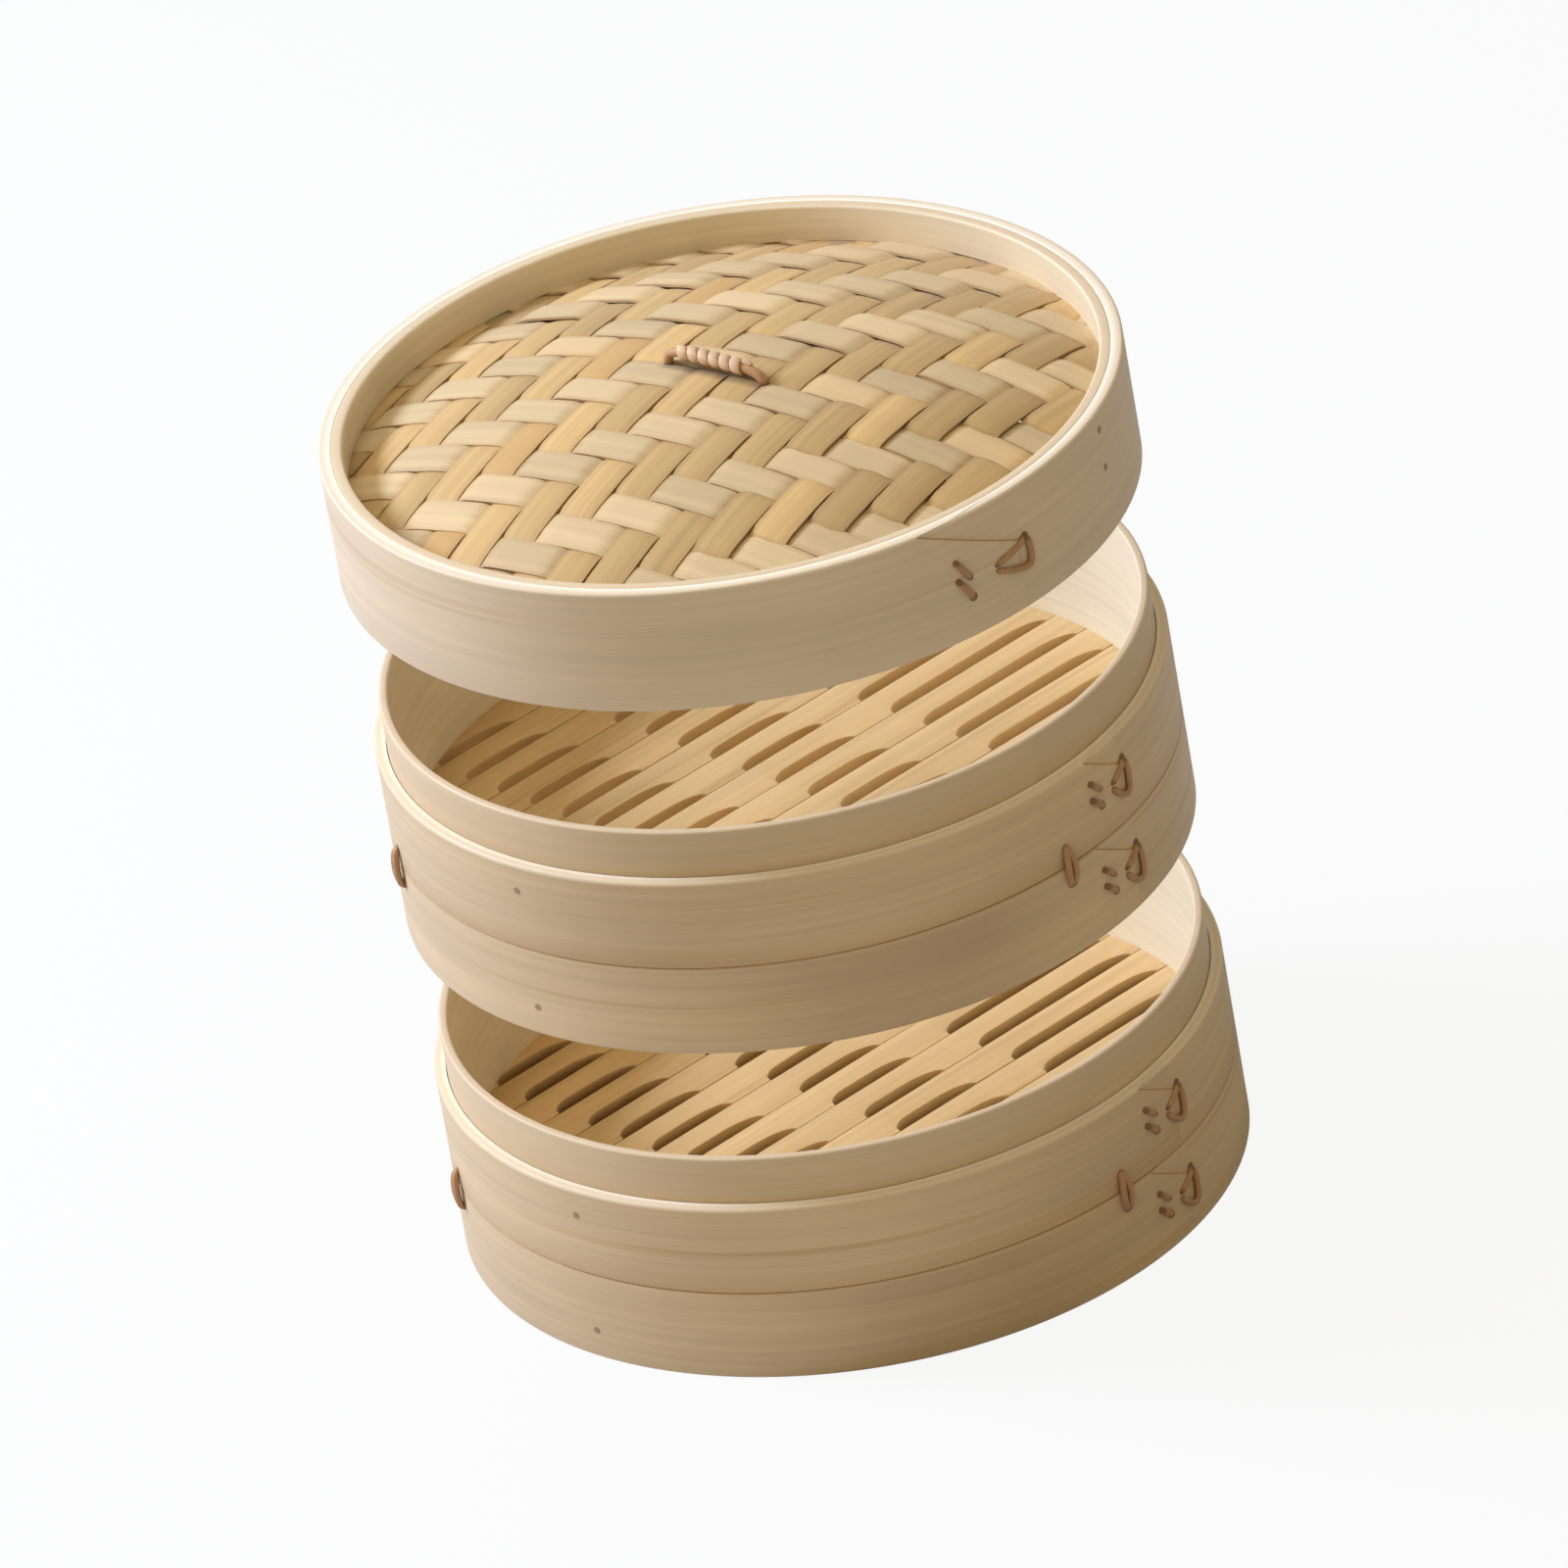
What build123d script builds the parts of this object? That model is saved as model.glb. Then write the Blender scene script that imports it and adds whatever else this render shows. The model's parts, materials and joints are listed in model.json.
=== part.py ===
from build123d import *
import os
from math import cos, degrees, pi, radians, sin, sqrt

# A two-tier bamboo steamer with its lid, shown lifted apart along its axis.
# Millimetres and degrees. +Z is up, the lower basket stands on z = 0 and the floor slats run along X.
# An azimuth is counted from -Y towards +X.

# Baskets: hoops and bands
OUTER_DIAMETER = 254.0
BAND_HEIGHT = 31.0
BAND_WALL = 3.6
BAND_EDGE_ROUND = 1.5
SEAM_ROUND = 0.6
HOOP_WALL = 3.2
LIP_RISE = 16.2
LIP_CLEARANCE = 0.8
LIP_EDGE_ROUND = 0.9

# Baskets: floor
FLOOR_DROP = 5.0  # from the seam between the bands down to the slats
SLAT_COUNT = 16
SLAT_SIDE_MARGINS = 0.4  # both margins beside the row of slats together, in slat pitches
SLAT_THICKNESS = 5.0
SLAT_GAP = 0.3
SLAT_END_CLEARANCE = 0.6
SLOT_WIDTH = 5.4
SLOT_ROUND_IN = 8.0
SLOT_ROUND_OUT = 15.0
SLOT_ROUND_STEPS = 5
SLOT_END_MARGIN = 4.0
SLOT_LEAST_LENGTH = 24.0
PAD_LENGTH = 17.0
BAR_COUNT = 3
BAR_SPACING = 51.5
BAR_ROW_CENTRE = -12.5
BAR_WIDTH = 12.0
BAR_DEPTH = 7.0
BAR_ROUND = 2.5
BAR_TENON = 3.0
BAR_CLEARANCE = 0.25
RING_HEIGHT = 3.8
RING_WALL = 5.9

# Lid
LID_OVERHANG = 1.0
LID_HEIGHT = 42.0
LID_WALL = 4.0
LID_HOOP_WALL = 3.7
LID_EDGE_ROUND = 1.5
LID_HOOP_ROUND = 1.0
LID_LIP_HEADROOM = 1.3
PANEL_DROP = 12.5
PANEL_THICKNESS = 2.4
PANEL_RISE = 20.0
PANEL_MARGIN = 1.8
PANEL_EDGE_CLEARANCE = 0.3
RIB_OFFSET = 44.0
RIB_WIDTH = 11.0
RIB_THICKNESS = 3.0
RIB_CLEARANCE = 0.2

# Handle on the lid
HANDLE_AZIMUTH = 100.0
HANDLE_SPAN = 38.0
HANDLE_RISE = 4.4
HANDLE_CANE_DIAMETER = 3.2
HANDLE_BEND = 6.5
HANDLE_HOLE_CLEARANCE = 1.0
HANDLE_LEG_BELOW = 6.5
HANDLE_PIN_DIAMETER = 1.6
HANDLE_PIN_OVERHANG = 5.0
HANDLE_PIN_CLEARANCE = 0.05
HANDLE_PIN_DROP = 2.4
BINDING_DIAMETER = 1.5
BINDING_TURNS = 6
BINDING_CLEARANCE = 0.05
BINDING_POINTS_PER_TURN = 24

# Cane stitches, loops and lashes, and bamboo pegs
STITCH_DIAMETER = 2.0
STITCH_LIFT = 0.2
STITCH_BEND = 1.3
STITCH_LEG = 2.8
STITCH_HOLE_CLEARANCE = 0.1
STITCH_RUN = 5.2
STITCH_PAIR_RISE = 1.8
LOOP_LEG_SPACING = 2.8
BASKET_STITCH_FALL = 4.8
BASKET_STITCH_SPACING = 6.0
BASKET_LOOP_WIDTH = 7.8
BASKET_LOOP_HEIGHT = 11.8
BASKET_LAP_GAP = 5.6
BASKET_LAP_AZIMUTH = 14.0
LID_STITCH_FALL = 7.8
LID_STITCH_SPACING = 7.2
LID_LOOP_WIDTH = 13.4
LID_LOOP_HEIGHT = 12.0
LID_LAP_GAP = 9.0
LID_LAP_AZIMUTH = -0.7
LID_LAP_DROP = 2.2
LASH_DIAMETER = 2.4
LASH_SPAN = 15.0
LASH_RISE = 1.0
LASH_COUNT = 3
LASH_AZIMUTH = 1.0
PEG_DIAMETER = 2.3
PEG_PROUD = 0.15
PEG_COUNT = 2
BASKET_PEG_AZIMUTH = -84.0
BASKET_TOP_PEG_HEIGHT = 52.5
BASKET_FOOT_PEG_HEIGHT = 10.0
LID_PEG_AZIMUTH = 24.5

# How far the pieces are lifted apart
UPPER_LIFT = 57.0
LID_LIFT = 62.5

# Sizes that follow from the ones above
BASKET_RADIUS = OUTER_DIAMETER / 2
BAND_BORE = BASKET_RADIUS - BAND_WALL
HOOP_BORE = BAND_BORE - HOOP_WALL
LIP_RADIUS = BAND_BORE - LIP_CLEARANCE
WALL_HEIGHT = 2 * BAND_HEIGHT
FLOOR_HEIGHT = BAND_HEIGHT - FLOOR_DROP
LIP_TOP = WALL_HEIGHT + LIP_RISE
SLAT_BOTTOM = FLOOR_HEIGHT - SLAT_THICKNESS
SLAT_REACH = BAND_BORE - SLAT_END_CLEARANCE
SLAT_PITCH = 2 * BAND_BORE / (SLAT_COUNT + SLAT_SIDE_MARGINS)
RING_BOTTOM = SLAT_BOTTOM - RING_HEIGHT
RING_BORE = BAND_BORE - RING_WALL
BAR_PLACES = [BAR_ROW_CENTRE + (k - (BAR_COUNT - 1) / 2) * BAR_SPACING for k in range(BAR_COUNT)]
LID_RADIUS = BASKET_RADIUS + LID_OVERHANG
LID_BORE = LID_RADIUS - LID_WALL
LID_HOOP_BORE = LID_BORE - LID_HOOP_WALL
PANEL_TOP_EDGE = LID_HEIGHT - PANEL_DROP
PANEL_BOTTOM_EDGE = PANEL_TOP_EDGE - PANEL_THICKNESS
UNDER_HOOP_BOTTOM = LIP_RISE + LID_LIP_HEADROOM
DOME_EDGE_RADIUS = LID_HOOP_BORE - PANEL_MARGIN
DOME_RADIUS = (DOME_EDGE_RADIUS**2 + PANEL_RISE**2) / (2 * PANEL_RISE)
DOME_CENTRE = PANEL_BOTTOM_EDGE + PANEL_RISE - DOME_RADIUS
PANEL_TOP = PANEL_TOP_EDGE + PANEL_RISE
UPPER_BASE = WALL_HEIGHT + UPPER_LIFT
LID_BASE = UPPER_BASE + WALL_HEIGHT + LID_LIFT

UP = (Align.CENTER, Align.CENTER, Align.MIN)
DOWN = (Align.CENTER, Align.CENTER, Align.MAX)


def drum(radius, bottom, top):
    """A solid round block between two heights."""
    return Pos(0, 0, bottom) * Cylinder(radius, top - bottom, align=UP)


def hoop(radius, bore, bottom, top):
    """A plain bent strip closed into a ring."""
    return drum(radius, bottom, top) - drum(bore, bottom, top)


def round_edges(solid, radius, height, amount):
    """Rounds the circular edges of a ring at one radius and height."""
    ring_edges = [
        edge
        for edge in solid.edges().filter_by(GeomType.CIRCLE)
        if abs(edge.radius - radius) < 0.01 and abs(edge.arc_center.Z - height) < 0.01
    ]
    return fillet(ring_edges, amount)


def wall_frame(radius, azimuth, height):
    """A frame on the outer wall: x along the wall, y up, z outwards."""
    turn = radians(azimuth)
    outward = Vector(sin(turn), -cos(turn), 0)
    origin = outward * radius + Vector(0, 0, height)
    return Plane(origin=origin, x_dir=(cos(turn), sin(turn), 0), z_dir=outward)


def round_cane(route, bend, diameter):
    """Cane along straight runs joined by tangent arcs."""
    path = FilletPolyline(*route, radius=bend)
    section = Plane(path @ 0, z_dir=path % 0) * Circle(diameter / 2)
    return sweep(section, path=path)


def surface_cane(points, diameter, rise):
    """Cane that leaves the wall at the first point, lies along the others and goes back in at the last."""
    height = diameter / 2 + STITCH_LIFT + rise
    route = [(*points[0], -STITCH_LEG)]
    route += [(x, y, height) for x, y in points]
    route.append((*points[-1], -STITCH_LEG))
    return round_cane(route, STITCH_BEND, diameter)


def leg_holes(points, diameter):
    """Tools that cut the two holes a piece of surface cane goes into."""
    radius = diameter / 2 + STITCH_HOLE_CLEARANCE
    depth = STITCH_LEG + STITCH_HOLE_CLEARANCE
    return [Pos(x, y, 0) * Cylinder(radius, 2 * depth) for x, y in (points[0], points[-1])]


def lap_routes(radius, azimuth, height, loop_width, loop_height, gap, fall, spacing):
    """Frames and points of one lap: two slanted stitches and a three-cornered loop beside them."""
    step = degrees((loop_width / 2 + gap + STITCH_RUN / 2) / radius)
    slant = [(-STITCH_RUN / 2, fall / 2), (STITCH_RUN / 2, -fall / 2)]
    loop = [
        (-loop_width / 2, LOOP_LEG_SPACING / 2),
        (loop_width / 2, loop_height / 2),
        (loop_width / 2, -loop_height / 2),
        (-loop_width / 2, -LOOP_LEG_SPACING / 2),
    ]
    middle = height + STITCH_PAIR_RISE
    routes = [
        (wall_frame(radius, azimuth - step, middle + side * spacing / 2), slant) for side in (1, -1)
    ]
    routes.append((wall_frame(radius, azimuth, height), loop))
    return routes


def lash_routes(radius, height):
    """Frames and points of the lashes that tie the two bands across their seam."""
    span = [(0, -LASH_SPAN / 2), (0, LASH_SPAN / 2)]
    turns = [LASH_AZIMUTH + k * 360 / LASH_COUNT for k in range(LASH_COUNT)]
    return [(wall_frame(radius, turn, height), span) for turn in turns]


def cane_group(routes, diameter, rise):
    return [frame * surface_cane(points, diameter, rise) for frame, points in routes]


def drill(solid, routes, diameter):
    """Cuts the holes for a group of surface canes into a band."""
    for frame, points in routes:
        for tool in leg_holes(points, diameter):
            solid -= frame * tool
    return solid


def peg_frames(radius, azimuth, height):
    return [wall_frame(radius, azimuth + k * 360 / PEG_COUNT, height) for k in range(PEG_COUNT)]


def pegs(frames, depth):
    """Pegs driven inwards from the wall, each a little proud of it."""
    body = Pos(0, 0, PEG_PROUD) * Cylinder(PEG_DIAMETER / 2, depth + PEG_PROUD, align=DOWN)
    return [frame * body for frame in frames]


def peg_holes(solid, frames, depth):
    for frame in frames:
        solid -= frame * Cylinder(PEG_DIAMETER / 2, 2 * depth)
    return solid


def slots_beside(gap_y):
    """Start and end along X of the slots in the gap between two slats at gap_y."""
    reach = sqrt(HOOP_BORE**2 - gap_y**2) - SLOT_END_MARGIN
    edges = [-reach]
    for place in BAR_PLACES:
        edges += [place - PAD_LENGTH / 2, place + PAD_LENGTH / 2]
    edges.append(reach)
    pairs = zip(edges[::2], edges[1::2])
    clipped = [(max(start, -reach), min(end, reach)) for start, end in pairs]
    return [(start, end) for start, end in clipped if end - start > SLOT_LEAST_LENGTH]


def slat_edge(edge_y, gap_y):
    """Points along the notched edge of a slat, from low X to high X, without its two ends."""
    points = []
    depth = SLOT_WIDTH - SLAT_GAP
    turns = [pi / 2 * k / SLOT_ROUND_STEPS for k in range(SLOT_ROUND_STEPS + 1)]
    arc = [(1 - cos(turn), edge_y + depth * sin(turn)) for turn in turns]
    for start, end in slots_beside(gap_y):
        points += [(start + SLOT_ROUND_IN * along, y) for along, y in arc]
        points += [(end - SLOT_ROUND_OUT * along, y) for along, y in reversed(arc)]
    return points


def slat(index):
    """One floor slat, notched along its low Y edge between the pads over the bars."""
    middle = (index - (SLAT_COUNT - 1) / 2) * SLAT_PITCH
    half = (SLAT_PITCH - SLAT_GAP) / 2
    notches = slat_edge(middle - half, middle - SLAT_PITCH / 2) if index else []
    outline = [(-BASKET_RADIUS, middle - half), *notches, (BASKET_RADIUS, middle - half)]
    outline += [(BASKET_RADIUS, middle + half), (-BASKET_RADIUS, middle + half)]
    plank = extrude(make_face(Polyline(*outline, close=True)), amount=SLAT_THICKNESS)
    return (Pos(0, 0, SLAT_BOTTOM) * plank) & drum(SLAT_REACH, SLAT_BOTTOM, FLOOR_HEIGHT)


def cross_bar(place):
    """One bar under the slats, with a thinner tenon at each end that rests in the floor ring."""
    profile = Pos(0, -BAR_DEPTH / 2) * Rectangle(BAR_WIDTH, BAR_DEPTH)
    lower_corners = profile.vertices().group_by(Axis.Y)[0]
    profile = fillet(lower_corners, BAR_ROUND)
    length = 2 * BASKET_RADIUS
    across = Plane(origin=(place, -length / 2, SLAT_BOTTOM), x_dir=(1, 0, 0), z_dir=(0, -1, 0))
    bar = extrude(across * profile, amount=-length)
    reach = drum(RING_BORE - BAR_CLEARANCE, SLAT_BOTTOM - 2 * BAR_DEPTH, SLAT_BOTTOM)
    reach += drum(RING_BORE + BAR_TENON - BAR_CLEARANCE, RING_BOTTOM, SLAT_BOTTOM)
    return bar & reach


def floor_ring():
    """Ring under the slat ends, with a housing for each bar tenon."""
    ring = hoop(BAND_BORE, RING_BORE, RING_BOTTOM, SLAT_BOTTOM)
    room = drum(RING_BORE + BAR_TENON, RING_BOTTOM, SLAT_BOTTOM)
    for place in BAR_PLACES:
        housing = Box(BAR_WIDTH + 2 * BAR_CLEARANCE, 2 * BASKET_RADIUS, RING_HEIGHT, align=UP)
        ring -= (Pos(place, 0, RING_BOTTOM) * housing) & room
    return ring


def basket():
    """All nodes of one basket, standing on z = 0."""
    stitch_size = (BASKET_STITCH_FALL, BASKET_STITCH_SPACING)
    lap_size = (BASKET_LOOP_WIDTH, BASKET_LOOP_HEIGHT, BASKET_LAP_GAP, *stitch_size)
    top_lap = lap_routes(BASKET_RADIUS, BASKET_LAP_AZIMUTH, 1.5 * BAND_HEIGHT, *lap_size)
    foot_lap = lap_routes(BASKET_RADIUS, BASKET_LAP_AZIMUTH, 0.5 * BAND_HEIGHT, *lap_size)
    lashes = lash_routes(BASKET_RADIUS, BAND_HEIGHT)
    top_pegs = peg_frames(BASKET_RADIUS, BASKET_PEG_AZIMUTH, BASKET_TOP_PEG_HEIGHT)
    foot_pegs = peg_frames(BASKET_RADIUS, BASKET_PEG_AZIMUTH, BASKET_FOOT_PEG_HEIGHT)
    deep = BAND_WALL + HOOP_WALL

    top_band = hoop(BASKET_RADIUS, BAND_BORE, BAND_HEIGHT, WALL_HEIGHT)
    top_band = round_edges(top_band, BASKET_RADIUS, WALL_HEIGHT, BAND_EDGE_ROUND)
    top_band = round_edges(top_band, BASKET_RADIUS, BAND_HEIGHT, SEAM_ROUND)
    top_band = drill(top_band, top_lap, STITCH_DIAMETER)
    top_band = drill(top_band, lashes, LASH_DIAMETER)
    top_band = peg_holes(top_band, top_pegs, deep)

    foot_band = hoop(BASKET_RADIUS, BAND_BORE, 0, BAND_HEIGHT)
    foot_band = round_edges(foot_band, BASKET_RADIUS, BAND_HEIGHT, SEAM_ROUND)
    foot_band = round_edges(foot_band, BASKET_RADIUS, 0, SEAM_ROUND)
    foot_band = drill(foot_band, foot_lap, STITCH_DIAMETER)
    foot_band = drill(foot_band, lashes, LASH_DIAMETER)
    foot_band = peg_holes(foot_band, foot_pegs, BAND_WALL)

    inner_hoop = hoop(BAND_BORE, HOOP_BORE, FLOOR_HEIGHT, WALL_HEIGHT)
    inner_hoop += hoop(LIP_RADIUS, HOOP_BORE, WALL_HEIGHT, LIP_TOP)
    inner_hoop = round_edges(inner_hoop, LIP_RADIUS, LIP_TOP, LIP_EDGE_ROUND)
    inner_hoop = round_edges(inner_hoop, HOOP_BORE, LIP_TOP, LIP_EDGE_ROUND)
    inner_hoop = peg_holes(inner_hoop, top_pegs, deep)

    nodes = {
        "inner_hoop": inner_hoop,
        "top_band": top_band,
        "foot_band": foot_band,
        "floor_ring": floor_ring(),
        "cross_bars": Compound([cross_bar(place) for place in BAR_PLACES]),
        "pegs": Compound(pegs(top_pegs, deep) + pegs(foot_pegs, BAND_WALL)),
        "lap_stitches": Compound(cane_group(top_lap + foot_lap, STITCH_DIAMETER, 0)),
        "seam_lashes": Compound(cane_group(lashes, LASH_DIAMETER, LASH_RISE)),
    }
    for index in range(SLAT_COUNT):
        nodes[f"slat_{index + 1:02d}"] = slat(index)
    return nodes


def handle_frame():
    """Frame of the handle arch: x along the arch, y up, with its origin on top of the woven panel."""
    return wall_frame(0, HANDLE_AZIMUTH, PANEL_TOP)


def handle_cane():
    """The bent cane arch, with both legs drilled for the pin under the panel."""
    half = HANDLE_SPAN / 2
    foot = -PANEL_THICKNESS - HANDLE_LEG_BELOW
    route = [(-half, foot, 0), (-half, HANDLE_RISE, 0), (half, HANDLE_RISE, 0), (half, foot, 0)]
    arch = round_cane(route, HANDLE_BEND, HANDLE_CANE_DIAMETER)
    return arch - handle_pin(HANDLE_PIN_CLEARANCE)


def handle_pin(clearance=0.0):
    """The pin through both legs, below the panel."""
    length = HANDLE_SPAN + 2 * HANDLE_PIN_OVERHANG
    drop = PANEL_THICKNESS + HANDLE_PIN_DROP + HANDLE_PIN_DIAMETER / 2
    lying = Pos(0, -drop, 0) * Rot(0, 90, 0)
    return lying * Cylinder(HANDLE_PIN_DIAMETER / 2 + clearance, length)


def biarc(start, start_way, end, end_way):
    """Two arcs that leave one point and reach another along given directions."""
    across = end - start
    both = start_way + end_way
    spread = 2 * (1 - start_way.dot(end_way))
    reach = (sqrt(across.dot(both) ** 2 + spread * across.dot(across)) - across.dot(both)) / spread
    middle = (start + start_way * reach + end - end_way * reach) * 0.5
    first = Edge.make_tangent_arc(start, start_way, middle)
    return [first, Edge.make_tangent_arc(middle, first % 1, end)]


def handle_binding():
    """Cane wound round the middle of the arch in one unbroken run."""
    straight = HANDLE_SPAN - 2 * HANDLE_BEND
    pitch = (straight - 2 * BINDING_DIAMETER) / BINDING_TURNS
    radius = HANDLE_CANE_DIAMETER / 2 + BINDING_DIAMETER / 2 + BINDING_CLEARANCE
    slope = pitch / (2 * pi)

    def point(turn):
        angle = 2 * pi * turn
        x = (turn - BINDING_TURNS / 2) * pitch
        return Vector(x, HANDLE_RISE + radius * cos(angle), radius * sin(angle))

    def way(turn):
        angle = 2 * pi * turn
        return Vector(slope, -radius * sin(angle), radius * cos(angle)).normalized()

    stops = [k / 4 for k in range(4 * BINDING_TURNS + 1)]
    edges = [Edge.make_line(point(0) - way(0) * BINDING_DIAMETER, point(0))]
    for here, there in zip(stops, stops[1:]):
        edges += biarc(point(here), way(here), point(there), way(there))
    edges.append(Edge.make_line(point(stops[-1]), point(stops[-1]) + way(stops[-1]) * BINDING_DIAMETER))
    fine, apart = BINDING_POINTS_PER_TURN, 2 * BINDING_POINTS_PER_TURN // 3
    samples = [point(k / fine) for k in range(fine * BINDING_TURNS + 1)]
    nearest = min((b - a).length for i, a in enumerate(samples) for b in samples[i + apart:])
    print("binding: least gap to itself", round(nearest - BINDING_DIAMETER, 2), "mm")
    path = Wire(edges)
    section = Plane(path @ 0, z_dir=path % 0) * Circle(BINDING_DIAMETER / 2)
    return sweep(section, path=path)


def woven_panel():
    """The domed top as a plain shell with a flat edge, and two holes for the handle legs."""
    edge = LID_BORE - PANEL_EDGE_CLEARANCE
    low, high = PANEL_BOTTOM_EDGE, PANEL_TOP_EDGE
    part_way = DOME_EDGE_RADIUS / 2
    bulge = DOME_CENTRE + sqrt(DOME_RADIUS**2 - part_way**2)
    outline = Polyline((0, low + PANEL_RISE), (0, high + PANEL_RISE))
    outline += ThreePointArc(
        (0, high + PANEL_RISE), (part_way, bulge + PANEL_THICKNESS), (DOME_EDGE_RADIUS, high)
    )
    outline += Polyline((DOME_EDGE_RADIUS, high), (edge, high), (edge, low), (DOME_EDGE_RADIUS, low))
    outline += ThreePointArc((DOME_EDGE_RADIUS, low), (part_way, bulge), (0, low + PANEL_RISE))
    shell = revolve(Plane.XZ * make_face(outline), axis=Axis.Z)
    hole = Cylinder(HANDLE_CANE_DIAMETER / 2 + HANDLE_HOLE_CLEARANCE, 4 * PANEL_THICKNESS)
    for side in (-1, 1):
        spot = handle_frame().from_local_coords((side * HANDLE_SPAN / 2, 0, 0))
        shell -= Pos(spot.X, spot.Y, PANEL_TOP - PANEL_THICKNESS) * hole
    return shell


def lid_rib(side):
    """A bent strip that follows the underside of the dome beside the handle."""
    outer = DOME_RADIUS - RIB_CLEARANCE
    shell = Sphere(outer) - Sphere(outer - RIB_THICKNESS)
    reach = LID_HOOP_BORE - RIB_CLEARANCE
    slab = Pos(0, side * RIB_OFFSET, 0) * Box(2 * reach, RIB_WIDTH, 2 * DOME_RADIUS)
    turn = Rot(0, 0, HANDLE_AZIMUTH)
    above = drum(reach, 0, LID_HEIGHT + PANEL_RISE)
    return (Pos(0, 0, DOME_CENTRE) * (shell & (turn * slab))) & above


def lid():
    """All nodes of the lid with its lower edge on z = 0, except the handle."""
    stitch_size = (LID_STITCH_FALL, LID_STITCH_SPACING)
    lap_size = (LID_LOOP_WIDTH, LID_LOOP_HEIGHT, LID_LAP_GAP, *stitch_size)
    lap = lap_routes(LID_RADIUS, LID_LAP_AZIMUTH, LID_HEIGHT / 2 - LID_LAP_DROP, *lap_size)
    rim_middle = (PANEL_TOP_EDGE + LID_HEIGHT) / 2
    under_middle = (UNDER_HOOP_BOTTOM + PANEL_BOTTOM_EDGE) / 2
    deep = LID_WALL + LID_HOOP_WALL
    rim_pegs = peg_frames(LID_RADIUS, LID_PEG_AZIMUTH, rim_middle)
    under_pegs = peg_frames(LID_RADIUS, LID_PEG_AZIMUTH, under_middle)

    outer_hoop = hoop(LID_RADIUS, LID_BORE, 0, LID_HEIGHT)
    outer_hoop = round_edges(outer_hoop, LID_RADIUS, LID_HEIGHT, LID_EDGE_ROUND)
    outer_hoop = round_edges(outer_hoop, LID_RADIUS, 0, SEAM_ROUND)
    outer_hoop = drill(outer_hoop, lap, STITCH_DIAMETER)
    outer_hoop = peg_holes(outer_hoop, rim_pegs + under_pegs, deep)

    rim_hoop = hoop(LID_BORE, LID_HOOP_BORE, PANEL_TOP_EDGE, LID_HEIGHT)
    rim_hoop = round_edges(rim_hoop, LID_HOOP_BORE, LID_HEIGHT, LID_HOOP_ROUND)
    rim_hoop = peg_holes(rim_hoop, rim_pegs, deep)

    under_hoop = hoop(LID_BORE, LID_HOOP_BORE, UNDER_HOOP_BOTTOM, PANEL_BOTTOM_EDGE)
    under_hoop = peg_holes(under_hoop, under_pegs, deep)

    return {
        "lid_outer_hoop": outer_hoop,
        "lid_rim_hoop": rim_hoop,
        "lid_under_hoop": under_hoop,
        "lid_woven_panel": woven_panel(),
        "lid_ribs": Compound([lid_rib(side) for side in (-1, 1)]),
        "lid_pegs": Compound(pegs(rim_pegs, deep) + pegs(under_pegs, deep)),
        "lid_lap_stitches": Compound(cane_group(lap, STITCH_DIAMETER, 0)),
    }


def handle():
    """All nodes of the lid's handle, in the lid's own heights."""
    frame = handle_frame()
    return {
        "handle_cane": frame * handle_cane(),
        "handle_binding": frame * handle_binding(),
        "handle_pin": frame * handle_pin(),
    }


def write(nodes, base):
    for name, solid in nodes.items():
        export_step(Pos(0, 0, base) * solid, f"parts/{name}.step")


os.makedirs("parts", exist_ok=True)
basket_nodes = basket()
for tier, base in (("lower", 0), ("upper", UPPER_BASE)):
    write({f"{tier}_{name}": solid for name, solid in basket_nodes.items()}, base)
write(lid(), LID_BASE)
write(handle(), LID_BASE)
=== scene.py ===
import json
import math
import random

import bpy
import numpy as np
from bpy.props import FloatProperty, FloatVectorProperty, IntProperty, PointerProperty
from mathutils import Matrix, Vector

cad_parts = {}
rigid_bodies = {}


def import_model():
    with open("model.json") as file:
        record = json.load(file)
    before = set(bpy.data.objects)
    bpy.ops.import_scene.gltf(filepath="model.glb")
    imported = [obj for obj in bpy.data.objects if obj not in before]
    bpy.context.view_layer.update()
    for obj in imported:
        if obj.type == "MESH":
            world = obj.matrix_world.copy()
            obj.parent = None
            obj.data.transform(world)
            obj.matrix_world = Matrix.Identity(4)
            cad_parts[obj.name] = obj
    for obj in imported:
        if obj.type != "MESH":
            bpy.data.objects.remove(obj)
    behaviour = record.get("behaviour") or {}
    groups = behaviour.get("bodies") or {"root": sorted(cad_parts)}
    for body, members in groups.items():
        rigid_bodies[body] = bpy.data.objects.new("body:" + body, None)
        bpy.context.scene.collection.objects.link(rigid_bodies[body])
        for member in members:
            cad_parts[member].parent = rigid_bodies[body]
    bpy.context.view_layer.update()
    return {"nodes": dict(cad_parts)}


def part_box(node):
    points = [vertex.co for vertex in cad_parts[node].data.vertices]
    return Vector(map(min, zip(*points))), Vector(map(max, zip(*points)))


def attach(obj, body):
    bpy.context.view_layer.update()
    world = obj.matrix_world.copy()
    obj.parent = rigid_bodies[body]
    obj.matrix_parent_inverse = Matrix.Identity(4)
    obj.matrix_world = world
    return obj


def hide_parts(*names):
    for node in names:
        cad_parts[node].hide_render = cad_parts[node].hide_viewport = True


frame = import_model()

bl_info = {
    "name": "Bamboo Steamer",
    "version": (1, 0, 0),
    "blender": (4, 5, 0),
    "location": "View3D > Sidebar > Steamer",
    "description": "Dresses a two-tier bamboo steamer with hoops, slats, a woven lid top and cane stitching",
    "category": "Object",
}

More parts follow.
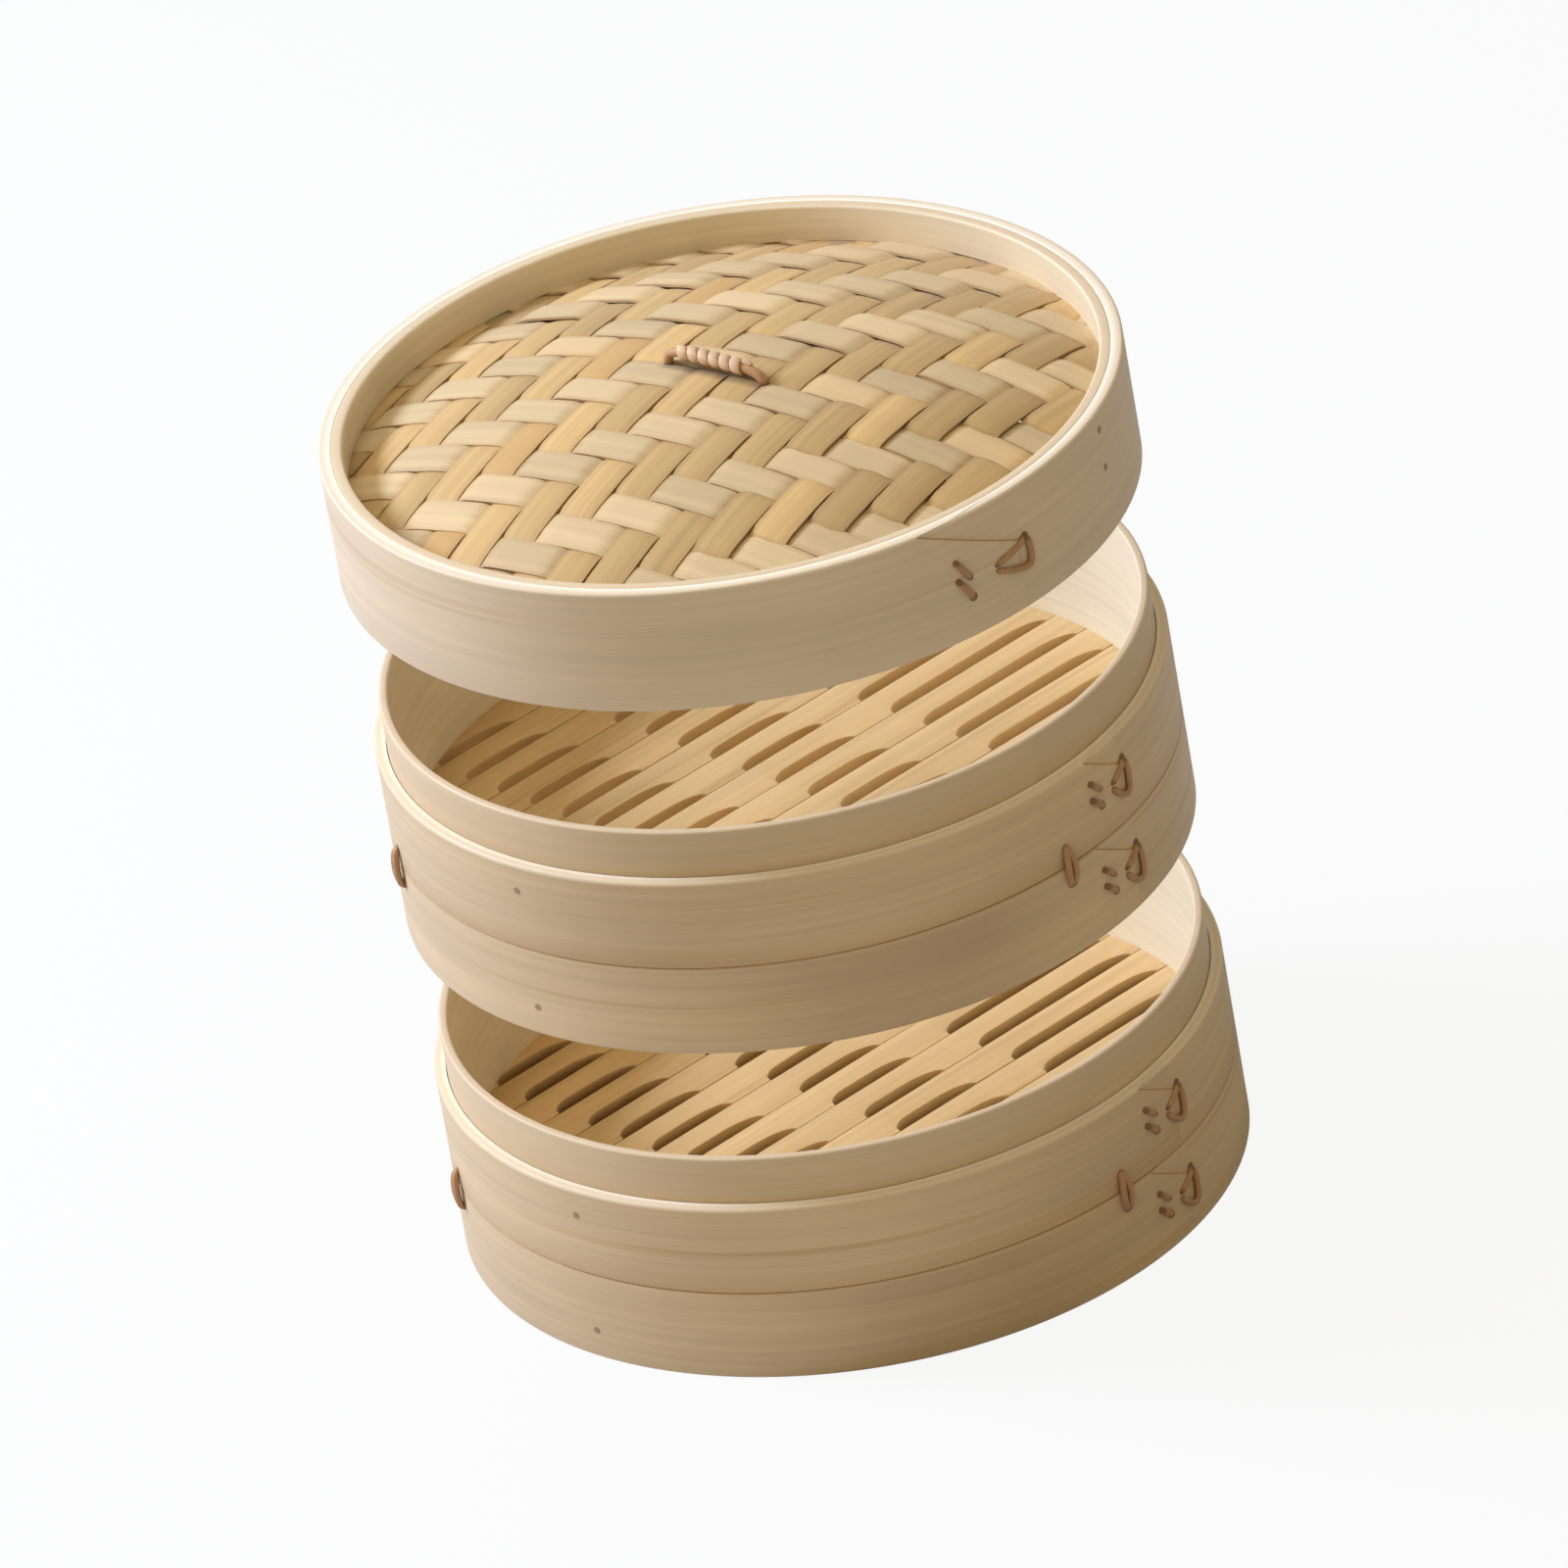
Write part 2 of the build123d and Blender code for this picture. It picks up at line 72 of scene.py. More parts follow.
# Heights and radii that the CAD frame gives, in metres.
MM = 0.001
TIERS = ("lower", "upper")
BASE = {tier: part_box(f"{tier}_foot_band")[0].z for tier in TIERS}
LID_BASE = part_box("lid_outer_hoop")[0].z
BASKET_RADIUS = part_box("lower_foot_band")[1].x
LID_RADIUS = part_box("lid_outer_hoop")[1].x
BAND_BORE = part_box("lower_inner_hoop")[1].x
LID_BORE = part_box("lid_rim_hoop")[1].x
SEAM_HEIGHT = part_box("lower_foot_band")[1].z
WALL_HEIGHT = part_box("lower_top_band")[1].z
LIP_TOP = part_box("lower_inner_hoop")[1].z
FLOOR_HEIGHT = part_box("lower_slat_08")[1].z
SLAT_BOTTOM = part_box("lower_slat_08")[0].z
LID_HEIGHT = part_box("lid_outer_hoop")[1].z - LID_BASE
PANEL_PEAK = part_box("lid_woven_panel")[1].z
RIM_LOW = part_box("lid_rim_hoop")[0].z - LID_BASE
UNDER_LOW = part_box("lid_under_hoop")[0].z - LID_BASE
UNDER_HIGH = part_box("lid_under_hoop")[1].z - LID_BASE
PANEL_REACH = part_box("lid_woven_panel")[1].x
LEAN_RADIUS = 0.363  # by which raised strips lean outwards on the dome
DOME_EDGE = LID_BORE - 5.5 * MM  # where the dome ends, just inside the rim hoop
BAR_PLACES = (-0.064, -0.0125, 0.039)  # middles of the cross bars along X
SLOT_MARGIN = 4.0 * MM  # between the last slots and the inner hoop
LEAST_SLOT = 24.0 * MM
HANDLE_TURN = math.radians(100.0)  # direction of the handle from the X axis
HANDLE_HALF = 19.0 * MM  # from its middle to each leg

# Roundings of a strip's cut: inner low, outer low, outer high, inner high.
LIP_ROUNDS = (0.0, 0.0, 0.9 * MM, 0.9 * MM)
RIM_ROUNDS = (0.0, 0.0, 0.4 * MM, 1.0 * MM)
UNDER_ROUNDS = (0.6 * MM, 0.0, 0.0, 0.0)
LID_TOP_ROUNDS = (0.9 * MM, 0.3 * MM)

# Azimuths in degrees between which the painted shade on a foot band fades in and out.
PAINTED_SHADE_STRETCH = (-64.0, -34.0, -22.0, 8.0)
# Heights where a lapped end starts to slant and fades out, from the middle of a band and the foot of the lid.
BAND_LAP = (5.0 * MM, -6.5 * MM)
LID_LAP = (24.0 * MM, 13.5 * MM)
# Lap stitches: azimuth in degrees, then loop width and height, gap, fall and spacing in millimetres.
BAND_STITCHES = (14.3, 7.8, 11.8, 6.2, 4.4, 6.0)
LID_STITCHES = (-0.2, 13.6, 9.8, 9.9, 7.8, 6.8)
LID_STITCH_HEIGHT = 19.1 * MM

# Where the weave's pattern starts, and how many strips may lie on each side.
LONG_GAP, CROSS_MIDDLE, STRIPS_BESIDE = -0.0053, -0.0197, 11

# One bow of a seam lash in millimetres: sideways, up and outwards.
LASH_ROUTE = ((0.0, -7.2, -2.2), (0.2, -7.0, 0.9), (1.5, -2.5, 1.9),
              (1.3, 2.5, 1.8), (0.2, 6.8, 0.9), (0.0, 7.2, -2.2))
LASH_COUNT, LASH_START = 3, 1.0  # the first lash's azimuth in degrees

# The floor: size, height, and the distances between which the camera sees it go from 0.9 to all white.
FLOOR_SIZE, FLOOR_LOW = 60.0, -0.2 * MM
FLOOR_FADE = (1.5, 9.0, 0.9, 1.0)
# Lights: azimuth from the camera and elevation in degrees, distance and size in metres, power and colour.
WARM = (1.0, 0.92, 0.78)
COOL = (0.88, 1.015, 1.40)
FILL = (-20.0, 40.0, 2.2, 1.8, 4.0, WARM)
KEY = (-110.0, 36.0, 1.8, 0.65, 33.0, COOL)
TOP = (-110.0, 80.0, 1.8, 1.4, 8.0, WARM)


def number(name, default, description, **kind):
    return FloatProperty(name=name, description=description, default=default, **kind)


def length(name, default, description):
    return number(name, default, description, min=0.0, unit="LENGTH")


def angle(name, degrees, description):
    return number(name, math.radians(degrees), description, subtype="ANGLE")


def whole(name, default, description):
    return IntProperty(name=name, description=description, default=default, min=1)


def colour(name, default, description):
    return FloatVectorProperty(name=name, description=description, default=default, min=0.0, soft_max=1.0,
                               size=3, subtype="COLOR")


class STEAMER_PG_hoops(bpy.types.PropertyGroup):
    columns: whole("Columns", 288, "Columns of faces round each bent strip")
    hoop_wall: length("Hoop wall", 0.0032, "Thickness of the inner hoop")
    lip_gap: length("Lip gap", 0.0003, "How much thinner the lip is than the hoop")
    lid_hoop_wall: length("Lid hoop wall", 0.0037, "Thickness of the two hoops inside the lid")
    edge_round: length("Edge round", 0.0015, "Rounding of the upper outer edges")
    seam_round: length("Seam round", 0.0006, "Rounding where two bands meet")
    lap_step: length("Lap step", 0.00055, "How far the lapped end stands out")
    lap_ramp: angle("Lap ramp", 55.0, "Arc over which the lapped end rises")
    basket_lap: angle("Basket lap", 14.9, "Azimuth of the lapped end on the baskets")
    basket_lap_slope: number("Basket lap slope", 1.82, "Run over rise of the slanted end")
    lid_lap: angle("Lid lap", 1.4, "Azimuth of the lapped end on the lid")
    lid_lap_slope: number("Lid lap slope", 2.1, "Run over rise of the slanted end")


class STEAMER_PG_slats(bpy.types.PropertyGroup):
    count: whole("Slats", 16, "Slats in one floor")
    pitch: length("Pitch", 0.0150488, "Spacing of the slats")
    gap: length("Gap", 0.0003, "Gap between slats where they touch")
    reach: length("Reach", 0.1226, "Radius that the slat ends go out to")
    slot: length("Slot", 0.0054, "Width of a slot")
    round_in: length("Slot start", 0.008, "Length of the rounded start of a slot")
    round_out: length("Slot end", 0.015, "Length of the rounded end of a slot")
    pad: length("Pad", 0.017, "Length over which slats touch above a bar")
    edge: length("Edge", 0.0005, "Rounding of the slat edges")


class STEAMER_PG_weave(bpy.types.PropertyGroup):
    turn: angle("Turn", 11.6, "Direction of the long strips from the X axis")
    long_pitch: length("Long pitch", 0.01305, "Spacing of the long strips")
    cross_pitch: length("Cross pitch", 0.01335, "Spacing of the cross strips")
    long_width: length("Long width", 0.0122, "Width of a long strip")
    cross_width: length("Cross width", 0.0129, "Width of a cross strip")
    thickness: length("Thickness", 0.0009, "Thickness of a strip")
    swing: length("Swing", 0.0007, "Rise and fall of a strip between over and under")
    crown: length("Crown", 0.0004, "Height of a strip's middle above its edges")


class STEAMER_PG_cane(bpy.types.PropertyGroup):
    stitch: length("Stitch", 0.0022, "Thickness of the stitching cane")
    lash: length("Lash", 0.0023, "Thickness of the lashing cane")
    handle: length("Handle", 0.0032, "Thickness of the handle cane")
    binding: length("Binding", 0.0012, "Thickness of the binding cane")
    turns: whole("Turns", 6, "Turns of the binding")
    pitch: length("Pitch", 0.0041, "Spacing of the binding's turns")


class STEAMER_PG_colours(bpy.types.PropertyGroup):
    band: colour("Band", (0.61, 0.44, 0.245), "Outer bands and lid hoop")
    band_line: colour("Band line", (0.46, 0.27, 0.10), "Fibre lines in the bands")
    lid: colour("Lid", (0.66, 0.50, 0.315), "Outer hoop of the lid")
    hoop: colour("Hoop", (0.54, 0.37, 0.18), "Inner hoops")
    slat: colour("Slat", (0.67, 0.462, 0.208), "Floor slats")
    splint: colour("Splint", (0.515, 0.335, 0.132), "Long strips of the woven top")
    pale_splint: colour("Pale splint", (0.57, 0.405, 0.20), "Cross strips of the woven top")
    # Colour of dirt and of painted shade: in gaps and holes, where strips go under, beneath the handle and on
    # cane undersides.
    gap: colour("Gap", (0.10, 0.05, 0.02), "Dirt and shade in gaps and holes")
    cane: colour("Cane", (0.45, 0.24, 0.105), "Stitches and lashes")
    binding: colour("Binding", (0.60, 0.40, 0.235), "Handle binding")
    # Painted shade: how much of its colour a foot band keeps where its shade is painted.
    dark_stretch: colour("Dark stretch", (0.80, 0.77, 0.73), "What a darker stretch keeps of its colour")
    # Partly painted highlight: inner faces are paler as bamboo's inner side and whiter still to stand in for
    # brightly lit inner walls.
    inside: colour("Inside", (1.57, 2.03, 2.9), "How much paler an inner face is")
    # Partly painted highlight: the upper cut edges are paler as raw cut bamboo and as a painted highlight.
    cut_edge: colour("Cut edge", (0.80, 0.69, 0.51), "Upper cut edges of hoops and bands")
    warm_splint: colour("Warm splint", (0.62, 0.36, 0.12), "The few orange strips of the woven top")
    # Painted highlight on the crowns of the strips where they stand proud.
    worn_splint: colour("Worn splint", (0.86, 0.73, 0.49), "Where a strip stands proud")
    # Partly painted shade: long strip edges are darker as raw bamboo and as painted shade in the slits
    # between strips.
    raw_edge: colour("Raw edge", (0.36, 0.20, 0.08), "Long edges of the woven strips")
    # Painted shade on the sawn sides of the slats, darker deeper down the slots.
    sawn_side_shade: colour("Sawn", (0.44, 0.24, 0.085), "Sawn sides of the slats")
    peg: colour("Peg", (0.33, 0.21, 0.11), "Pegs and the handle pin")


class STEAMER_PG_stage(bpy.types.PropertyGroup):
    azimuth: angle("Azimuth", -39.0, "Camera azimuth from -Y towards +X")
    elevation: angle("Elevation", 28.8, "Camera elevation")
    roll: angle("Roll", -10.0, "Camera roll")
    distance: length("Distance", 7.62, "Camera distance from the aim point")
    lens: number("Lens", 552.24, "Focal length in millimetres", unit="CAMERA")
    aim_height: length("Aim height", 0.1505, "Height on the axis that the camera looks at")
    aim_right: number("Aim right", 0.0004, "Shift of that point to the right", unit="LENGTH")
    aim_up: number("Aim up", 0.0067, "Shift of that point upwards", unit="LENGTH")
    air: colour("Air", (0.465, 0.425, 0.34), "Light that comes from all round")


def settings(group):
    return getattr(bpy.context.scene, "steamer_" + group)


# Small modelling helpers


def only(piece):
    """Selects one object and makes it active."""
    bpy.ops.object.select_all(action="DESELECT")
    piece.select_set(True)
    bpy.context.view_layer.objects.active = piece


def named(name):
    piece = bpy.context.object
    piece.name = name
    piece.data.name = name
    return piece


def edit(piece, select="SELECT"):
    only(piece)
    bpy.ops.object.mode_set(mode="EDIT")
    bpy.ops.mesh.select_mode(type="VERT")
    bpy.ops.mesh.select_all(action=select)


def leave():
    bpy.ops.object.mode_set(mode="OBJECT")


def points_of(piece):
    places = np.empty(len(piece.data.vertices) * 3, np.float32)
    piece.data.vertices.foreach_get("co", places)
    return places.reshape(-1, 3).astype(float)


def set_points(piece, places):
    piece.data.vertices.foreach_set("co", np.asarray(places, np.float32).ravel())
    piece.data.update()


def note(piece, name, values):
    """Stores one number for each vertex, for the material to read."""
    layer = piece.data.attributes.get(name) or piece.data.attributes.new(name, "FLOAT", "POINT")
    layer.data.foreach_set("value", np.asarray(values, np.float32))


def apply(piece, kind, **values):
    only(piece)
    modifier = piece.modifiers.new(kind.title(), kind)
    for name, value in values.items():
        setattr(modifier, name, value)
    bpy.ops.object.modifier_apply(modifier=modifier.name)


def smooth(piece, degrees=35):
    only(piece)
    bpy.ops.object.shade_smooth_by_angle(angle=math.radians(degrees), keep_sharp_edges=False)


def outward(piece, threshold):
    edit(piece)
    bpy.ops.mesh.remove_doubles(threshold=threshold)
    bpy.ops.mesh.select_all(action="SELECT")
    bpy.ops.mesh.normals_make_consistent(inside=False)
    leave()


def face_up(piece):
    """Turns a flat sheet over if its faces look down."""
    if piece.data.polygons[0].normal.z < 0:
        edit(piece)
        bpy.ops.mesh.flip_normals()
        leave()


def grain_layer(piece):
    return piece.data.uv_layers.get("grain") or piece.data.uv_layers.new(name="grain")


def set_grain(piece, along, across):
    """A UV map in metres: for each vertex, its place along the fibre and across it."""
    layer = grain_layer(piece)
    for loop in piece.data.loops:
        k = loop.vertex_index
        layer.data[loop.index].uv = (along[k], across[k])


def finish_piece(piece, body, material, node):
    """Gives a finished piece its material and its body, and hides the CAD node it stands for."""
    for spare in [layer.name for layer in piece.data.uv_layers if layer.name != "grain"]:
        piece.data.uv_layers.remove(piece.data.uv_layers[spare])
    piece.data.materials.clear()
    piece.data.materials.append(material)
    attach(piece, body)
    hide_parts(node)


def join(pieces, name):
    only(pieces[0])
    for piece in pieces[1:]:
        piece.select_set(True)
    bpy.ops.object.join()
    return named(name)


def smoothstep(low, high, value):
    share = np.clip((np.asarray(value, float) - low) / (high - low), 0.0, 1.0)
    return share * share * (3.0 - 2.0 * share)


def wrapped(turn):
    return (np.asarray(turn) + math.pi) % (2 * math.pi) - math.pi


def azimuth_of(places):
    return np.arctan2(places[:, 0], -places[:, 1])


def at_azimuth(turn, radius, height):
    return np.stack([radius * np.sin(turn), -radius * np.cos(turn), height], -1)


# Materials


class Nodes:
    """Places and links nodes in one tree."""

    def __init__(self, tree):
        self.tree = tree
        self.column = 0

    def add(self, kind, inputs=None, **values):
        node = self.tree.nodes.new(kind)
        node.location = (self.column * 180, 0)
        self.column += 1
        for name, value in values.items():
            setattr(node, name, value)
        for key, value in (inputs or {}).items():
            self.give(node.inputs[key], value)
        return node

    def give(self, socket, value):
        if isinstance(value, bpy.types.NodeSocket):
            self.tree.links.new(value, socket)
        elif socket.type == "RGBA":
            socket.default_value = (*value, 1.0)
        else:
            socket.default_value = value

    def math(self, operation, first, second):
        return self.add("ShaderNodeMath", {0: first, 1: second}, operation=operation).outputs[0]

    def mix(self, share, first, second, blend="MIX"):
        inputs = {0: share, 6: first, 7: second}
        return self.add("ShaderNodeMix", inputs, data_type="RGBA", blend_type=blend).outputs[2]

    def band(self, value, low, high, bottom=0.0, top=1.0):
        inputs = {0: value, 1: low, 2: high, 3: bottom, 4: top}
        return self.add("ShaderNodeMapRange", inputs, interpolation_type="SMOOTHSTEP").outputs[0]

    def noise(self, vector, stretch, detail, rough):
        """Noise with so many waves to the metre along the fibre, across it and through it."""
        place = self.add("ShaderNodeVectorMath", {0: vector, 1: stretch}, operation="MULTIPLY").outputs[0]
        inputs = {"Vector": place, "Scale": 1.0, "Detail": detail, "Roughness": rough}
        return self.add("ShaderNodeTexNoise", inputs).outputs["Fac"]

    def around_none(self, value, amount):
        """A value about one half, moved to about zero and scaled."""
        return self.math("MULTIPLY", self.math("SUBTRACT", value, 0.5), amount)

    def mark(self, name, amount):
        """A mask from the piece's own attribute."""
        value = self.add("ShaderNodeAttribute", attribute_name=name).outputs["Fac"]
        return self.math("MULTIPLY", value, amount)


def fresh_nodes(owner):
    """The emptied node tree of a material or world."""
    owner.use_nodes = True
    owner.node_tree.nodes.clear()
    return Nodes(owner.node_tree)


FIBRE_INPUTS = {"Vector": "Vector", "Wood": "Color", "Line": "Color", "Streak": "Float", "Lines": "Float"}
FIBRE_OUTPUTS = {"Color": "Color", "Roughness": "Float", "Height": "Float"}

# What a finish adds to plain wood, in order: a piece's attribute, its strength, a colour and any blend.
# inside pales the inner faces: partly their own paler colour, partly a painted highlight.
STRIP_MARKS = (("dark_stretch", 1.0, "dark_stretch", "MULTIPLY"), ("inside", 1.0, "inside", "MULTIPLY"),
               ("cut_edge", 0.45, "cut_edge"), ("seam", 0.75, "band_line"))
# top is a painted highlight on the crowns of proud strips.
WEAVE_MARKS = (("warm", 0.55, "warm_splint"), ("top", 0.16, "worn_splint"),
               # under is painted shade where strips go under others and a painted shadow beneath the handle.
               ("raw_edge", 0.3, "raw_edge"), ("under", 0.5, "gap"))
CANE_MARKS = (("sunk", 0.85, "gap"),)
SLAT_MARKS = (("side", 0.75, "sawn_side_shade"),)


def bamboo_fibre():
    """Fibre streaks, long dark lines and slow shade. The vector runs along the fibre in x."""
    if "bamboo_fibre" in bpy.data.node_groups:
        return bpy.data.node_groups["bamboo_fibre"]
    tree = bpy.data.node_groups.new("bamboo_fibre", "ShaderNodeTree")
    for way, sockets in (("INPUT", FIBRE_INPUTS), ("OUTPUT", FIBRE_OUTPUTS)):
        for name, kind in sockets.items():
            tree.interface.new_socket(name, in_out=way, socket_type="NodeSocket" + kind)
    nodes = Nodes(tree)
    given, put = nodes.add("NodeGroupInput").outputs, nodes.add("NodeGroupOutput").inputs
    fine = nodes.noise(given["Vector"], (14.0, 2600.0, 400.0), 4.0, 0.6)
    broad = nodes.noise(given["Vector"], (5.0, 330.0, 90.0), 3.0, 0.5)
    slow = nodes.noise(given["Vector"], (7.0, 26.0, 16.0), 2.0, 0.5)
    rare = nodes.noise(given["Vector"], (2.6, 210.0, 40.0), 2.0, 0.45)
    streaks = nodes.around_none(fine, given["Streak"])
    wide = nodes.around_none(broad, nodes.math("MULTIPLY", given["Streak"], 1.1))
    drift = nodes.around_none(slow, 0.36)
    value = nodes.math("ADD", nodes.math("ADD", streaks, wide), nodes.math("ADD", drift, 1.0))
    toned = nodes.add("ShaderNodeHueSaturation", {"Color": given["Wood"], "Value": value}).outputs[0]
    line = nodes.math("MULTIPLY", nodes.band(rare, 0.60, 0.72), given["Lines"])
    nodes.give(put["Color"], nodes.mix(line, toned, given["Line"]))
    nodes.give(put["Roughness"], nodes.band(fine, 0.25, 0.8, 0.42, 0.62))
    nodes.give(put["Height"], nodes.math("ADD", fine, nodes.math("MULTIPLY", broad, 0.6)))
    return tree


def wood(name, tint, line, streak, lines, bump=0.12, uv=True, turn=0.0, marks=()):
    """A bamboo finish along the grain map, or along X and turned where uv is False.

    A woven strip also has its own tone and is duller where it goes under.
    """
    if name in bpy.data.materials:
        return bpy.data.materials[name]
    material = bpy.data.materials.new(name)
    nodes = fresh_nodes(material)
    place = nodes.add("ShaderNodeTexCoord").outputs["UV" if uv else "Object"]
    if turn:
        place = nodes.add("ShaderNodeMapping", {"Vector": place, "Rotation": (0.0, 0.0, turn)}).outputs[0]
    inputs = dict(zip(FIBRE_INPUTS, (place, tint, line, streak, lines)))
    fibre = nodes.add("ShaderNodeGroup", inputs, node_tree=bamboo_fibre())
    shade, rough = fibre.outputs["Color"], fibre.outputs["Roughness"]
    if marks is WEAVE_MARKS:
        tone = nodes.math("ADD", nodes.mark("tone", 0.16), 1.0)
        shade = nodes.add("ShaderNodeHueSaturation", {"Color": shade, "Value": tone}).outputs[0]
        rough = nodes.math("ADD", rough, nodes.mark("under", 0.35))
    for mark, strength, key, *blend in marks:
        shade = nodes.mix(nodes.mark(mark, strength), shade, getattr(settings("colours"), key), *blend)
    height = nodes.add("ShaderNodeBump", {
        "Height": fibre.outputs["Height"], "Strength": bump, "Distance": 0.4 * MM,
    })
    surface = nodes.add("ShaderNodeBsdfPrincipled", {
        "Base Color": shade, "Roughness": rough, "Normal": height.outputs[0],
        "IOR": 1.45, "Specular IOR Level": 0.3, "Sheen Weight": 0.1, "Sheen Roughness": 0.45,
    })
    nodes.add("ShaderNodeOutputMaterial", {"Surface": surface.outputs[0]})
    return material


# Hoops and bands


def ring_section(name, bore, radius, bottom, top, rounds, levels):
    """The cut shape of a bent strip, drawn beside the axis and spun into a ring."""
    bpy.ops.mesh.primitive_plane_add(size=1.0)
    piece = named(name)
    corners = {(-1, -1): (bore, bottom), (1, -1): (radius, bottom),
               (1, 1): (radius, top), (-1, 1): (bore, top)}
    for vertex in piece.data.vertices:
        side = (1 if vertex.co.x > 0 else -1, 1 if vertex.co.y > 0 else -1)
        x, z = corners[side]
        vertex.co = (x, 0.0, z)
    for (x, z), amount in zip(corners.values(), rounds):
        if amount:
            edit(piece, "DESELECT")
            leave()
            nearest = min(piece.data.vertices, key=lambda v: (v.co - Vector((x, 0, z))).length)
            nearest.select = True
            bpy.ops.object.mode_set(mode="EDIT")
            bpy.ops.mesh.bevel(offset=amount, segments=4, affect="VERTICES")
            leave()
    for level in levels:
        edit(piece)
        bpy.ops.mesh.bisect(plane_co=(0, 0, level), plane_no=(0, 0, 1))
        leave()
    edit(piece)
    bpy.ops.mesh.delete(type="ONLY_FACE")
    bpy.ops.mesh.select_all(action="DESELECT")
    bpy.ops.mesh.select_mode(type="EDGE")
    leave()
    for line in piece.data.edges:
        first, last = (piece.data.vertices[k].co for k in line.vertices)
        between = bottom + 0.01 * MM < first.z < top - 0.01 * MM
        line.select = between and abs(first.x - last.x) > 0.5 * (radius - bore)
    bpy.ops.object.mode_set(mode="EDIT")
    bpy.ops.mesh.delete(type="EDGE")
    bpy.ops.mesh.select_mode(type="VERT")
    bpy.ops.mesh.select_all(action="SELECT")
    bpy.ops.mesh.spin(steps=settings("hoops").columns, angle=2 * math.pi, center=(0, 0, 0),
                      axis=(0, 0, 1))
    leave()
    outward(piece, 0.002 * MM)
    return piece


def grain_round(piece, start, radius):
    """A UV map in metres: along the strip from its lapped end, and across it."""
    mesh = piece.data
    places = points_of(piece)
    turns = azimuth_of(places) - start
    reach = np.hypot(places[:, 0], places[:, 1])
    layer = grain_layer(piece)
    for face in mesh.polygons:
        middle = (azimuth_of(np.array([face.center]))[0] - start) % (2 * math.pi)
        for corner in face.loop_indices:
            index = mesh.loops[corner].vertex_index
            turn = middle + float(wrapped(turns[index] - middle))
            layer.data[corner].uv = (turn * radius, places[index][2] + 0.7 * reach[index])


def bent_strip(node, body, finish, bore, radius, bottom, top, rounds, lap=None, seams=(), pale=1.0):
    """A strip bent into a ring and finished.

    lap is its outer end: azimuth, run over rise, and the heights where it starts to slant and fades out.
    seams are heights of dark joint lines, and pale is how far its inner face is paler: partly its own paler
    colour, partly a painted highlight.
    """
    hoops = settings("hoops")
    start, levels = 0.0, []
    if lap:
        start, slope, slant_low, fade_low = lap
        levels = [*np.linspace(slant_low, top - 1.7 * MM, 8), *np.linspace(fade_low, slant_low, 4)[:3]]
    piece = ring_section(f"{node}_strip", bore, radius, bottom, top, rounds, levels)
    places = points_of(piece)
    reach = np.hypot(places[:, 0], places[:, 1])
    height = places[:, 2]
    step = 2 * math.pi / hoops.columns
    column = np.floor(azimuth_of(places) / step + 0.25)
    turn = wrapped((column + 0.5) * step)
    seam = np.zeros(len(places))
    if lap:
        near, next_to, far = 0.08 * MM / radius, 0.7 * MM / radius, math.radians(40)
        turn = np.sign(turn) * np.interp(np.abs(turn), [0.5 * step, 1.5 * step, far, math.pi],
                                         [near, near + next_to, far, math.pi])
        outside = smoothstep(bore + 0.5 * (radius - bore), radius, reach)
        ramp = smoothstep(-hoops.lap_ramp, -near, turn) * (turn < 0)
        fade = np.interp(height, [fade_low, slant_low], [0.0, 1.0])
        rise = np.clip(height - slant_low, 0.0, None)
        window = 1.0 - smoothstep(math.radians(3), math.radians(45), np.abs(turn))
        seam = outside * fade * (np.abs(turn) < 1.01 * near)
        reach = reach + outside * fade * ramp * hoops.lap_step
        turn = turn - outside * window * rise * slope / radius
    set_points(piece, at_azimuth(turn + start, reach, height))
    for level in seams:
        seam = np.maximum(seam, 1.0 - smoothstep(0.3 * MM, 0.9 * MM, np.abs(height - level)))
    note(piece, "seam", seam)
    # Paler towards the top edge: raw cut bamboo and a painted highlight.
    note(piece, "cut_edge", smoothstep(top - 1.6 * MM, top - 0.2 * MM, height))
    # The inner face is paler: partly its own colour, partly a painted highlight.
    note(piece, "inside", pale * (1.0 - smoothstep(bore, bore + 0.3 * (radius - bore), reach)))
    grain_round(piece, start, radius)
    smooth(piece)
    finish_piece(piece, body, finish, node)
    return piece


def strip_finish(name, tint, streak, lines):
    return wood(name, tint, settings("colours").band_line, streak, lines, marks=STRIP_MARKS)


class STEAMER_OT_basket_hoops(bpy.types.Operator):
    """Bends the inner hoop, top band and foot band of both baskets"""
    bl_idname = "steamer.basket_hoops"
    bl_label = "Basket hoops"

    def execute(self, context):
        hoops, tints = settings("hoops"), settings("colours")
        small = hoops.seam_round
        bands = (("foot_band", 0.0, SEAM_HEIGHT, small),
                 ("top_band", SEAM_HEIGHT, WALL_HEIGHT, hoops.edge_round))
        outer = strip_finish("band_bamboo", tints.band, 0.3, 0.6)
        inner = strip_finish("hoop_bamboo", tints.hoop, 0.26, 0.3)
        for tier in TIERS:
            base, body = BASE[tier], f"{tier}_basket"
            for part, low, high, upper_round in bands:
                middle = base + (low + high) / 2
                lap = (hoops.basket_lap, hoops.basket_lap_slope, *(middle + z for z in BAND_LAP))
                band = bent_strip(f"{tier}_{part}", body, outer, BAND_BORE, BASKET_RADIUS,
                                  base + low, base + high, (0.0, small, upper_round, 0.0), lap,
                                  [base + SEAM_HEIGHT])
                if part == "foot_band":
                    turn = np.degrees(azimuth_of(points_of(band)))
                    # A stretch of painted shade round part of each foot band.
                    dark = smoothstep(*PAINTED_SHADE_STRETCH[:2], turn) * (1.0 - smoothstep(*PAINTED_SHADE_STRETCH[2:], turn))
                    note(band, "dark_stretch", dark)
            bent_strip(f"{tier}_inner_hoop", body, inner, BAND_BORE - hoops.hoop_wall,
                       BAND_BORE - hoops.lip_gap, base + FLOOR_HEIGHT, base + LIP_TOP, LIP_ROUNDS,
                       seams=[base + WALL_HEIGHT])
        return {"FINISHED"}


